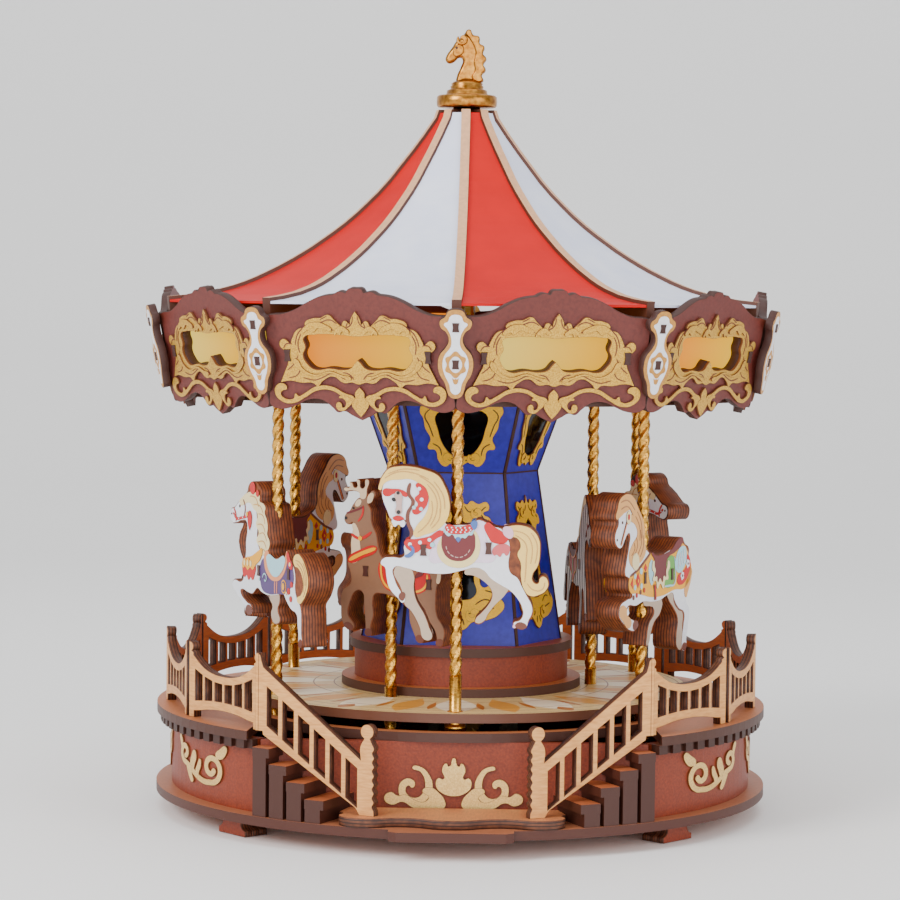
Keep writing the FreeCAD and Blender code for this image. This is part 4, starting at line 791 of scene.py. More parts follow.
wood_core = scorched_edge("animal_core", rgb(146, 74, 32), rgb(92, 42, 18))
paint = {
    "white": enamel("print_white", rgb(238, 240, 247)), "blond": enamel("print_blond", rgb(255, 212, 112)),
    "strand": enamel("print_strand", rgb(222, 164, 84)), "red": enamel("print_red", rgb(204, 4, 8)),
    "pink": enamel("print_pink", rgb(238, 188, 206)), "lilac": enamel("print_lilac", rgb(238, 216, 238)),
    "ring": enamel("print_ring", rgb(246, 222, 152)), "maroon": enamel("print_maroon", rgb(112, 34, 38)),
    "rose": enamel("print_rose", rgb(216, 92, 96)), "blue": enamel("print_blue", rgb(74, 110, 178)),
    # The beige tone is painted shade, laid on the far legs to darken them against the white near side.
    "sky": enamel("print_sky", rgb(170, 216, 228)), "beige": enamel("print_far_leg_painted_shade", rgb(190, 166, 144)),
    "skin": enamel("print_skin", rgb(204, 168, 158)), "hoof": enamel("print_hoof", rgb(112, 56, 38)),
    "tenon": enamel("print_tenon", rgb(74, 36, 26)), "black": enamel("print_black", rgb(24, 20, 22)),
    "cream": enamel("print_cream", rgb(246, 226, 170)), "tan": enamel("print_tan", rgb(232, 170, 98)),
    "curl": enamel("print_curl", rgb(184, 124, 76)), "gold": enamel("print_gold", rgb(250, 176, 8)),
    "indigo": enamel("print_indigo", rgb(84, 58, 116)), "salmon": enamel("print_salmon", rgb(236, 148, 96)),
    "green": enamel("print_green", rgb(108, 176, 76)), "deer": enamel("print_deer", rgb(142, 100, 72)),
    "fawn": enamel("print_fawn", rgb(232, 204, 164)), "shade": enamel("print_shade", rgb(206, 212, 230)),
}


def tenon_at(x, y, tall=1.9):
    return [(x - 1.1, y - tall, 1), (x + 1.1, y - tall, 1), (x + 0.8, y), (x + 1.1, y + tall, 1), (x - 1.1,
        y + tall, 1), (x - 0.8, y)]


def animal_piece(name, node, outline, prints):
    """Core board with prints on both faces, standing on its pole."""
    circle, azimuth, turn = next((c, az, t) for n, c, az, t in ANIMALS if n == node)
    bearing = math.radians(azimuth + turn)
    forward = Vector((-math.cos(bearing), -math.sin(bearing), 0))
    lift = next(p[3] for p in POLES if p[4] == node)
    place = seat(polar(circle, azimuth, 41.7 + lift), forward, UP)
    kit = new_kit()
    cut_board(kit, outline, THICK - 0.4, wood_core, wood_core, place, base=-THICK / 2 + 0.2, bevel=0.12)
    for colour, shape, level, *grow in prints:
        for side in (1, -1):
            low = THICK / 2 - 0.35 + INLAY_STEP * level
            cut_board(kit, shape, INLAY, paint[colour], wood_core, place,
                base=low if side > 0 else -low - INLAY,
                      bevel=0.02, grow=grow[0] if grow else 0.0)
    build(kit, name, node + "_rider", [node])


ANIMALS = [("white_horse_front", 69.8, 0, 0), ("blanket_horse_right", 69.8, 60, 0), ("pompom_horse_right", 69.8,
    120, 0),
           ("white_horse_rear", 69.8, 180, 0), ("blanket_horse_left", 69.8, 240, 0), ("pompom_horse_left", 69.8,
               300, 0),
           ("deer_front", 44.5, 330, 0), ("zebra", 44.5, 90, 10), ("deer_rear", 44.5, 210, 0)]

# White parade horse: blond mane and tail, maroon saddle in a yellow ring, red
# rump cloth and a spotted red breast strap.
white_core = [(24.8, 60), (24.7, 62.4), (23.5, 65.1), (21.7, 67), (18.7, 67.7), (14.9, 67.7), (10, 66.6),
    (5.9, 64.8), (3.7, 61.4),
              (2.2, 57.5), (2, 53.7), (3.2, 50.2), (3.4, 49.4), (-0.7, 49.2), (-5.2, 49.4), (-6.8, 51),
                  (-9, 50.3), (-12.4, 48.6),
              (-15, 48.4), (-17.7, 49.3), (-21.6, 49.2), (-24.5, 47.9), (-26.4, 45), (-26.9, 41.5),
                  (-26.1, 36.2), (-24.6, 33.6),
              (-24.8, 31.3), (-26, 30.9), (-26.5, 32.7), (-28, 33.3), (-29.5, 31.3), (-28.9, 28.6),
                  (-26.5, 26.8), (-23.6, 26.4),
              (-21.8, 28.3), (-20.9, 30.0), (-22.6, 27.4), (-24.6, 22.5), (-24.4, 20.3), (-23.1, 18),
                  (-22.6, 16.3, 1), (-19.2, 16.2, 1),
              (-18.1, 17.9), (-20.4, 19.2), (-21.3, 21), (-20.6, 23.6), (-17.5, 27.8), (-15.8, 27.2),
                  (-12.4, 23.4), (-10.2, 20.5),
              (-9, 18.2), (-6.4, 17.5), (-6, 18.4), (-8.5, 21.6), (-9.9, 23.2), (-11.4, 26.6), (-11, 28.6),
                  (-8.8, 31.2), (-5.6, 33.2),
              (-1.7, 34.4), (2.7, 33.4), (8.1, 33.3), (12, 33.8), (13.4, 30.2), (12.6, 25), (10, 20.4),
                  (8.4, 16.5), (7.4, 12.4, 1),
              (10, 12.1, 1), (11.7, 16.5), (14.4, 21.4), (16.4, 23.2), (18.3, 25.2), (21.2, 28.7), (22.3, 32.6),
                  (22.9, 35.4), (24.2, 36.5),
              (23.2, 38.2), (20.7, 38.7), (17, 39), (16.6, 42.4), (14.3, 45), (14.3, 47), (16, 49.6),
                  (18.4, 49.3), (20.6, 49.6),
              (22, 52.6), (23.2, 57)]
white_body = [(23.6, 61.0), (21.9, 52.8), (20.2, 50.2), (16.6, 50.5), (15.6, 49.6), (14.2, 47.0), (14.3, 44.9),
    (16.6, 42.4), (16.8, 38.7),
              (20.7, 38.5), (23.2, 38.0), (24.0, 36.4), (22.7, 35.3), (22.2, 32.6), (21.2, 28.7), (18.3, 25.3),
                  (16.9, 24.0), (16.2, 25.3),
              (17.8, 27.8), (19.5, 31.2), (19.8, 35.2), (15.9, 35.1), (12.5, 34.1), (8.1, 33.5), (2.7, 33.5),
                  (-1.7, 34.5), (-6.5, 35.5),
              (-9.0, 34.4), (-10.9, 32.2), (-14.3, 30.0), (-17.2, 28.3), (-19.7, 25.6), (-21.1, 23.0),
                  (-21.4, 20.5), (-20.4, 18.8),
              (-18.4, 17.8), (-19.4, 16.5), (-22.3, 16.5), (-23.0, 18.6), (-24.2, 21.3), (-24.1, 23.5),
                  (-22.4, 26.8), (-20.9, 29.6),
              (-19.4, 32.4), (-17.4, 33.8), (-16.6, 36), (-17.0, 42.0), (-16.0, 45.4), (-14.3, 47.8),
                  (-11.9, 48.6), (-9.0, 50.0), (-6.9, 50.6),
              (-4.6, 49.4), (-0.7, 49.0), (3.2, 49.2), (9.0, 58), (12, 64), (20, 65)]
white_mane = [(24.5, 59.8), (24.5, 62.4), (23.3, 64.9), (21.6, 66.7), (18.7, 67.4), (14.9, 67.4), (10.0, 66.3),
    (6.1, 64.6), (4.0, 61.4),
              (2.6, 57.5), (2.3, 53.9), (3.3, 50.3), (5.9, 47.5), (10.0, 45.8), (13.5, 45.3), (12.9, 48.3),
                  (10.4, 51.5), (8.9, 55.6), (9.4, 59.3),
              (12.0, 62.0), (14.9, 63.4), (18.3, 63.2), (21.7, 62.8), (23.4, 61.6)]
white_tail = [(-15.2, 48.0), (-17.7, 49.0), (-21.5, 48.9), (-24.2, 47.6), (-26.1, 44.9), (-26.5, 41.5),
    (-25.8, 36.2), (-24.2, 33.5),
              (-24.5, 31.1), (-26.0, 30.6), (-26.7, 32.4), (-27.9, 32.9), (-29.2, 31.2), (-28.7, 28.8),
                  (-26.4, 27.1), (-23.6, 26.7),
              (-21.8, 28.4), (-20.6, 32.7), (-20.5, 37.1), (-19.4, 40.0), (-20.4, 42.5), (-19.4, 44.9),
                  (-17.2, 45.6), (-16.0, 46.2)]
far_hind = [(-2.6, 33.8), (-6.5, 35.6), (-9.4, 34.7), (-12.4, 31.5), (-16.6, 29.4), (-15.8, 27.2),
    (-12.4, 23.6), (-10.2, 20.7), (-9.0, 18.5),
            (-6.6, 17.8), (-6.2, 18.4), (-8.5, 21.4), (-9.9, 23.0), (-11.6, 26.4), (-11.2, 28.5), (-9.0, 31.0),
                (-5.6, 32.9)]
far_fore = [(19.4, 35.2), (14.8, 35.1), (13.4, 32.5), (13.5, 28.7), (12.6, 24.8), (10.1, 20.4), (8.6, 16.5),
    (7.7, 12.6), (9.9, 12.3), (11.5, 16.5),
            (14.2, 21.4), (16.2, 23.4), (17.3, 28.2)]
white_prints = [
    # The far legs are laid in beige as painted shade.
    ("beige", far_hind, 0), ("beige", far_fore, 0), ("white", white_body, 1), ("blond", white_mane, 3),
        ("blond", white_tail, 3),
    ("pink", [(-14.7, 48.1), (-16.7, 48.7), (-17.9, 47.4), (-17.7, 45.2), (-16.5, 44.9)], 4),
    ("lilac", [(4.2, 46.3), (7.1, 43.9), (8.1, 41.0), (8.3, 37.3), (3.7, 37.1), (-6.5, 37.1), (-12.4, 38.3),
        (-11.1, 42.0),
               (-9.4, 44.9), (-9.0, 49.9), (-6.9, 50.3), (-4.6, 48.3)], 2),
    ("ring", [(4.9, 44.9), (6.1, 42.4), (5.9, 39.5), (3.7, 36.6), (0.3, 35.4), (-3.6, 35.9), (-6.5, 38.1),
        (-7.5, 41.0), (-7.3, 44.4),
              (-5.6, 47.3), (3.7, 46.8)], 3),
    ("maroon", [(3.9, 46.6), (4.8, 43.7), (4.4, 41.0), (2.7, 38.5), (-0.4, 37.5), (-3.6, 38.3), (-5.5, 40.5),
        (-6.0, 43.4), (-5.2, 46.6)], 4),
    ("sky", [(4.0, 47.8), (3.6, 46.2), (2.4, 45.4), (1.4, 46.0), (0.3, 44.6), (-0.8, 44.2), (-1.8, 45.0),
        (-2.8, 44.8), (-3.8, 45.8), (-4.8, 45.8),
             (-5.6, 47.4), (-6.3, 49.4), (-4.8, 48.6)], 5),
    ("red", [(3.5, 48.8), (-0.7, 48.4), (-5.1, 48.8), (-5.2, 47.6), (-2.8, 46.4), (0.3, 46.1), (3.0, 46.8)], 6),
    ("red", [(-9.3, 49.8), (-12.4, 48.3), (-15.0, 46.6), (-16.4, 44.4), (-11.6, 43.5), (-10.3, 44.9)], 3),
    ("red", [(13.0, 62.0), (10.7, 61.4), (9.2, 59.0), (9.1, 56.6), (10.7, 53.6), (13.4, 52.2), (14.2, 53.6),
        (12.4, 55.2), (13.4, 57.4),
             (12.0, 59.0)], 4),
    ("hoof", stroke([(14.9, 62.2), (15.4, 58.8), (13.9, 56.2), (15.5, 52.6), (15.5, 49.8), (14.3, 46.4),
        (14.7, 44.9)], 1.2), 3),
    ("rose", [(-11.7, 41.8), (-16.6, 42.7), (-16.8, 40.4), (-15.9, 39.4), (-14.9, 40.2), (-13.8, 39.0),
        (-12.8, 39.7), (-12, 39.4)], 3),
    ("red", [(23.4, 60.0), (20.7, 60.3), (17.3, 59.9), (15.8, 58.7), (15.9, 57.8), (17.8, 58.4), (19.7, 58.8),
        (21.7, 57.9), (23.3, 58.3)], 4),
    ("skin", [(19.4, 59.4), (17.9, 59.2), (17.5, 55.1), (17.9, 52.2), (19.3, 52.4), (19.2, 55.1)], 5),
    ("black", dot(18.7, 59.0, 0.55), 6), ("black", [(20.6, 57.4), (19.4, 57.0), (20.0, 56.2)], 6), ("black",
        dot(18.5, 52.9, 0.65), 6),
    ("red", [(20.2, 51.3), (16.9, 51.1), (16.9, 50.5), (20.2, 50.7)], 5),
    ("white", [(20.6, 50.3), (18.7, 50.0), (17.0, 50.5), (16.3, 49.2), (17.2, 48.1), (18.5, 49.0), (19.6, 48.2),
        (20.4, 49.2)], 5),
    ("red", [(16.5, 43.7), (12.9, 44.4), (9.0, 45.2), (4.4, 47.1), (4.2, 46.1), (6.3, 44.6), (7.8, 43.2),
        (8.0, 41.3), (10.5, 41.6),
             (12.9, 40.0), (14.9, 40.7), (16.2, 41.9)], 4),
    ("sky", dot(7.6, 42.6, 0.8), 5), ("blue", [(15.0, 42.4), (14.2, 41.0), (15.2, 39.8), (16.5, 38.9),
        (15.8, 38.4), (13.8, 39.2), (13.4, 41.4)], 5),
    ("blue", [(-4.6, 50.0), (-6.3, 50.4), (-6.6, 49.0), (-5.6, 47.6), (-4.8, 48.4)], 7), ("blue",
        [(0.2, 44.9), (-0.6, 43.4, 1), (-1.3, 44.8)], 6),
    ("tenon", tenon_at(10.5, 40.9, 1.8), 6), ("tenon", tenon_at(-10.2, 41.7, 1.9), 6), ("pink",
        dot(-18.7, 16.9, 0.6), 2),
    ("hoof", [(-19.0, 17.6), (-22.4, 17.5), (-22.4, 16.5), (-19.4, 16.4)], 3), ("hoof",
        [(16.6, 27.4), (18.2, 26.4), (17.2, 24.6), (16.5, 25)], 3),
]
for x, y in ((12.0, 60.4), (11.2, 57.0), (13.6, 54.4), (11.4, 54.0), (14.8, 42.7), (11.6, 43.3), (8.6, 44.2)):
    white_prints.append(("white" if y > 56 or y < 50 else "sky", dot(x, y, 0.62), 5))
for column in range(6):
    for row in range(3):
        white_prints.append(("white", dot(3.0 - column * 1.42 - 0.35 * (row % 2), 48.2 - row * 0.72, 0.27), 7))
for strand in (((23, 63.6), (19, 65.6), (14, 65.4), (9, 63.4)), ((22, 65), (17, 66.6), (12, 66.2)), ((12, 64.4),
    (7.6, 61.4), (5.4, 57), (5.2, 52.6)),
               ((9.4, 61.8), (6.6, 57.6), (6.6, 52.4), (8.4, 48.6)), ((7.4, 62.8), (4.4, 58.4), (3.8, 54)),
                   ((8.0, 56.6), (7.8, 52.6), (9.8, 48.6), (12.4, 46.4)),
               ((5.4, 54.2), (5.6, 50.8), (8, 47.8)), ((-17.8, 47.4), (-22, 46.2), (-24, 42.6), (-23.6, 37)),
                   ((-18.6, 46), (-21.9, 43.4), (-22.2, 38), (-21.8, 31)),
               ((-23.6, 46.8), (-25.6, 43.2), (-25, 37)), ((-22.6, 30.6), (-24.6, 28.6), (-27.4, 28.8),
                   (-28.2, 31))):
    white_prints.append(("strand", stroke(list(strand), 0.32), 4))
for lobe in range(7):
    spot = math.radians(200 + lobe * 23)
    white_prints.append(("skin", stroke([(-0.6 + 3.9 * math.cos(spot + t),
        42.6 + 3.9 * math.sin(spot + t)) for t in (0, 0.16, 0.3)], 0.3), 5))
for node in ("white_horse_front", "white_horse_rear"):
    animal_piece(node + "_cutout", node, white_core, white_prints)

# Prancing horse with a red pompom: cream curls, indigo cloth under an orange
# girth round a pale blue saddle, and a gold collar with red scallops.
pompom_core = [(28.3, 52.6), (27.7, 54.7), (24.4, 55.8), (21.6, 57.6), (18.3, 59.6), (14.6, 61.6), (13.6, 63.6),
    (9.6, 65.2), (5.6, 64.2),
               (3.2, 61.8), (3.4, 59.2), (-0.6, 57.6), (-1.6, 54.6), (-2.8, 51.2), (-3.6, 47.8), (-4.4, 45.6),
                   (-3.4, 43.2), (-4.6, 41.4),
               (-9.8, 41.2), (-16.4, 42.3), (-17.9, 44.5), (-20.5, 42.0), (-22.6, 42.6), (-25.2, 44),
                   (-28.6, 43.1), (-31.4, 40.6),
               (-33.4, 37.4), (-33.8, 34.4), (-32.4, 31.2), (-29.8, 28.6), (-28.3, 27.0), (-28.7, 22.5),
                   (-28.8, 17.7), (-29.5, 14, 1),
               (-26.7, 13.3, 1), (-26.1, 17.3), (-25.4, 21.1), (-24.8, 23.6), (-20.4, 25.1), (-17.4, 27.2),
                   (-14.3, 29.6), (-12, 29.0),
               (-11.6, 26.4), (-10.2, 24.2), (-12.2, 20.6), (-10.1, 19.3), (-6.4, 19.6), (-4.8, 22.6),
                   (-6.0, 24.6), (-3.6, 27.6),
               (2.4, 28.6), (5.6, 29.6), (9.6, 27.4), (12.1, 27.4), (18, 27.6), (13.7, 24.6), (10.3, 23.7),
                   (9.4, 20.9, 1), (14.3, 20.3, 1),
               (16.5, 22.7), (21.9, 25.8), (26.3, 28.8), (25.7, 30.7), (18.4, 31.2), (17.0, 32.6), (18.0, 34.2),
                   (17.6, 37.5), (15.6, 39.5),
               (15.2, 44.5), (14.2, 48.6), (14.6, 51.0), (18.4, 51.3), (23.3, 50.2), (26.6, 50.2)]
pompom_body = [(28.0, 52.6), (27.4, 54.4), (24.2, 55.4), (21.4, 57.2), (17.6, 59.2), (12, 59), (8, 57), (6, 51),
    (6, 46), (3, 42), (-2.4, 40.9),
               (-9.8, 40.9), (-16.4, 42), (-20.3, 41.4), (-22.1, 39.7), (-23.5, 36.9), (-23.9, 31), (-28.0, 26),
                   (-28.4, 22.5),
               (-28.5, 17.7), (-29.1, 14.3), (-26.9, 13.7), (-26.4, 17.3), (-25.7, 21.1), (-25.1, 23.9),
                   (-20.6, 25.4), (-17.4, 27.5),
               (-14.3, 29.9), (-10.2, 29.1), (-2.9, 28.3), (2.4, 28.9), (5.6, 29.9), (9.6, 27.7), (12.1, 27.7),
                   (18.9, 28.2),
               (19.3, 27.4), (13.8, 24.2), (10.5, 23.3), (9.8, 21.2), (14.2, 20.6), (16.4, 23.0), (21.8, 26.1),
                   (25.9, 28.9), (25.4, 30.4),
               (18.2, 30.9), (16.7, 32.6), (17.7, 34.2), (17.3, 37.4), (15.3, 39.4), (14.9, 44.5), (13.9, 48.7),
                   (14.5, 51.3), (18.4, 51.6),
               (23.3, 50.5), (26.4, 50.5)]
far_leg = [(-3.8, 27.9), (-6.2, 24.8), (-5.1, 22.6), (-6.6, 19.9), (-10.0, 19.6), (-11.8, 20.7), (-10.0, 24.2),
    (-11.3, 26.4), (-11.2, 29.2)]
pompom_prints = [
    # The far leg is laid in beige as painted shade.
    ("beige", far_leg, 0), ("white", pompom_body, 1),
    ("blond", [(-22.4, 41.8), (-25.2, 43.7), (-28.5, 42.8), (-31.2, 40.4), (-33.1, 37.3), (-33.5, 34.4),
        (-32.1, 31.4), (-29.6, 28.9),
               (-27.2, 27.7), (-25.2, 28.9), (-28.4, 30.8), (-29.9, 33.5), (-29, 36.8), (-26.1, 39.2),
                   (-23.2, 39.8)], 2),
    ("cream", [(14.6, 60.9), (7.5, 61.6), (4.2, 60.8), (4.2, 59.0), (1.1, 58.2), (-0.5, 56.8), (0.1, 55.6),
        (-1.7, 52.9), (-2.4, 50.5),
               (-2.0, 48.4), (-4.0, 45.8), (-3.0, 43.4), (1.3, 41.1), (5.3, 40.9), (3.6, 43.1), (6.5, 45.6),
                   (4.6, 48.4), (7.0, 50.9),
               (5.6, 54.1), (9.1, 56.1), (11.8, 57.8), (20.3, 57.5), (18.1, 59.3)], 2),
    ("red", dot(9.4, 62.9, 2.1), 4), ("red", dot(5.6, 61.4, 1.2), 4),
    ("red", stroke([(25.4, 53.6), (22.4, 51.9), (18.4, 52.4), (14.9, 53.0), (11.6, 54.2)], 0.9), 3),
    ("red", stroke([(24.8, 55.2), (23.0, 52.8), (23.0, 50.8)], 0.7), 3), ("maroon",
        stroke([(17.2, 58.6), (15.6, 56.2), (16.4, 53)], 0.6), 3),
    ("red", [(12.6, 55.0), (10.6, 54.6), (10.4, 50.6), (11.8, 48.6, 1), (13.0, 50.6)], 4), ("gold",
        dot(13.6, 54.0, 0.8), 5),
    ("black", dot(20.0, 56.2, 0.5), 3), ("black", dot(26.6, 53.2, 0.35), 3),
    ("red", [(17.2, 37.2), (17.4, 34.6), (15.8, 32.6), (14.2, 33.4), (12.4, 31.9), (10.8, 33.0), (9.4, 32.1),
        (7.6, 34), (6.8, 36.8), (12, 38)], 3),
    ("gold", [(17.0, 38.3), (14.9, 39.2), (9.9, 40.2), (4.4, 42.4), (1.6, 43.2), (2.4, 40.2), (6.6, 37.4),
        (9.0, 35.6), (11, 36.2), (13, 35.2),
              (15, 36.2), (17.0, 35.6)], 4),
    ("indigo", [(3.0, 38.4), (-0.9, 40.7), (-4, 40.9), (-10, 40.9), (-16.4, 41.9), (-20.2, 40.2), (-22.3, 38),
        (-22.6, 34), (-20.4, 32.2),
                (-17.2, 30.2), (-10.2, 29.3), (-2.9, 28.7), (1.9, 30.0), (3.4, 33.8)], 2),
    ("salmon", [(-0.8, 42.6), (0.0, 38.5), (-3.2, 34.6), (-9.0, 33.4), (-14.2, 35.3), (-17.4, 39.4),
        (-17.7, 44.1), (-16.2, 42.1), (-9.8, 40.9),
                (-4.4, 41.2), (-3.2, 42.8)], 3),
    ("sky", [(-2.1, 41.2), (-2.4, 38.7), (-5.0, 35.8), (-9.2, 34.8), (-13.3, 36.5), (-16, 39.4), (-16.4, 41.7),
        (-9.8, 40.7)], 4),
    ("red", [(-17.9, 43.8), (-20.4, 41.5), (-22.2, 39.2), (-20.6, 38.2), (-18.4, 40.2)], 4), ("cream",
        dot(-20.2, 39.9, 0.7), 5),
    ("gold", dot(-15.2, 32.2, 1.9, 1.2), 3), ("indigo", dot(-15.2, 32.2, 1.5, 1.2), 4), ("gold", dot(-15.2,
        32.2, 0.95, 1.3), 5),
    ("salmon", stroke([(-8.4, 33.6), (-8.3, 31), (-8.4, 29.3)], 0.6), 3), ("salmon",
        stroke([(-10.0, 33.6), (-9.9, 31), (-10, 29.4)], 0.6), 3),
    ("red", dot(-19.0, 31.0, 1.1), 3), ("red", dot(-20.6, 28.6, 1.0), 3), ("cream",
        dot(-17.4, 30.2, 0.6), 4), ("red", dot(-21.4, 33.4, 1.0), 4),
    ("hoof", [(9.9, 21.2), (14.2, 20.7), (14.9, 22.2), (10.6, 23.2)], 2), ("hoof",
        [(-29.1, 14.3), (-26.9, 13.7), (-26.6, 15.5), (-28.9, 16.1)], 2),
    ("tenon", tenon_at(4.3, 35.8, 1.8), 5), ("tenon", tenon_at(-18.9, 36.6, 1.8), 5), ("sky",
        dot(3.6, 33.0, 0.5), 4),
]
for x in (15.4, 12.9, 10.4):
    pompom_prints += [("cream", dot(x, 37.6, 0.72, 1.5), 5), ("red", dot(x + 1.2, 39.0, 0.3), 5)]
for x, y in ((24.4, 52.8), (20.4, 52.0), (17.2, 52.6), (14.4, 53.2)):
    pompom_prints.append(("white", dot(x, y, 0.3), 4))
whorl = [(1.9 * (1 - t) * math.cos(8 * t) - 0.8, 33.6 + 1.9 * (1 - t) * math.sin(8 * t)) for t in (0, 0.12,
    0.25, 0.38, 0.5, 0.62, 0.75)]
pompom_prints.append(("sky", stroke(whorl, 0.45), 4))
for strand in (((12, 60), (7, 59.6), (5, 57)), ((9, 57.4), (3.6, 57.2), (1.2, 55)), ((5, 54.6), (1, 54),
    (-0.2, 51.6)), ((5.6, 51), (1.4, 51), (-0.4, 48.8)),
               ((4, 48), (0.6, 48.4), (-1.6, 46)), ((5, 45.2), (0.6, 45.6), (-1.4, 43.6)), ((3.2, 42.4),
                   (0.6, 43.0), (-0.8, 42.2)),
               ((-24, 41.6), (-28, 40.8), (-31, 37.6), (-31.4, 34)), ((-25, 40.6), (-28.6, 38.8), (-30.4, 35.4),
                   (-29.8, 31.6)),
               ((-29.6, 41.2), (-32, 37.8), (-32, 33.4), (-30, 30.2))):
    pompom_prints.append(("strand", stroke(list(strand), 0.34), 3))
for node in ("pompom_horse_right", "pompom_horse_left"):
    animal_piece(node + "_cutout", node, pompom_core, pompom_prints)

# Horse with a yellow cloth: tan curled mane, maroon saddle edged with cream
# scallops, green panel, red flower band and a striped crupper.
cloth_core = [(34.0, 55.0), (34.5, 52.4), (31.5, 49.8), (28.6, 49.8), (26.6, 51.6), (23.4, 53.6), (22.0, 52.6),
    (22.4, 50.3), (24.6, 44.8),
              (25.5, 40.8), (22.4, 39.4), (22.1, 36.0), (20.0, 33.7), (23.5, 32.9), (29.4, 31.2), (30.6, 28.2),
                  (27.4, 25.4), (20.4, 22.1),
              (15.4, 22.1), (13.2, 24.2), (17.9, 25.8), (22.6, 27.6), (22.6, 29.6), (15.4, 30.0), (9.3, 30.9),
                  (3.6, 30.3), (-0.4, 27.8),
              (4.1, 23.5), (5.8, 19.1), (6.2, 16.2, 1), (4.4, 16.0, 1), (2.0, 20.2), (-0.6, 23.2), (-6.5, 26.5),
                  (-7.6, 30.3), (-12.1, 31.7),
              (-13.7, 29.8), (-17.8, 26.9), (-21.6, 23.3), (-20.6, 17.5), (-21.1, 13.7, 1), (-25.6, 12.3, 1),
                  (-29.5, 12.0, 1), (-30.2, 16.6),
              (-31.5, 20.4), (-32.5, 25.8), (-29.2, 29.1), (-31.0, 31.5), (-33.9, 35.7), (-34.4, 40.2),
                  (-31.6, 44.1), (-31.4, 46.6),
              (-27.6, 48.4), (-25.3, 50.4), (-20.5, 50.4), (-14.6, 47.3), (-6.1, 46.0), (0.1, 46.2),
                  (4.8, 47.6), (7.2, 48.4), (8.7, 50.3),
              (8.8, 54.2), (10.3, 58.2), (14.4, 62.4), (18.6, 66.0), (22.2, 67.3), (27.7, 67.1), (31.8, 65.3),
                  (33.0, 62.9), (34.4, 59.4),
              (32.2, 58.4)]
cloth_body = [(29.6, 61.0), (31.4, 59.5), (31.4, 57.6), (33.7, 55.0), (34.2, 52.5), (31.4, 50.1), (28.7, 50.1),
    (26.6, 51.9), (22.9, 54.4),
              (21.7, 53.9), (22.2, 50.3), (24.4, 44.8), (25.2, 40.9), (22.1, 39.6), (21.8, 35.8), (19.0, 33.7),
                  (23.5, 32.6), (29.2, 30.9),
              (30.2, 28.2), (27.2, 25.7), (20.3, 22.5), (15.5, 22.5), (13.7, 24.1), (17.9, 25.5), (23.3, 27.6),
                  (23.8, 29.9), (15.4, 30.3),
              (9.3, 31.2), (3.1, 30.7), (-5.2, 30.7), (-12.1, 32.0), (-16.9, 32.2), (-18.2, 30.1),
                  (-22.3, 26.9), (-27.4, 24.9), (-27.0, 20.8),
              (-25.8, 16.5), (-26.3, 12.5), (-29.1, 12.4), (-29.8, 16.6), (-31.1, 20.4), (-32.1, 25.7),
                  (-28.7, 29.1), (-30.6, 31.5),
              (-33.5, 35.7), (-34.0, 40.2), (-31.2, 43.8), (-27.0, 47.4), (-14.6, 46.9), (-6.1, 45.6),
                  (0.1, 45.8), (7.4, 48.1), (9.2, 50.3),
              (12, 58), (20, 64)]
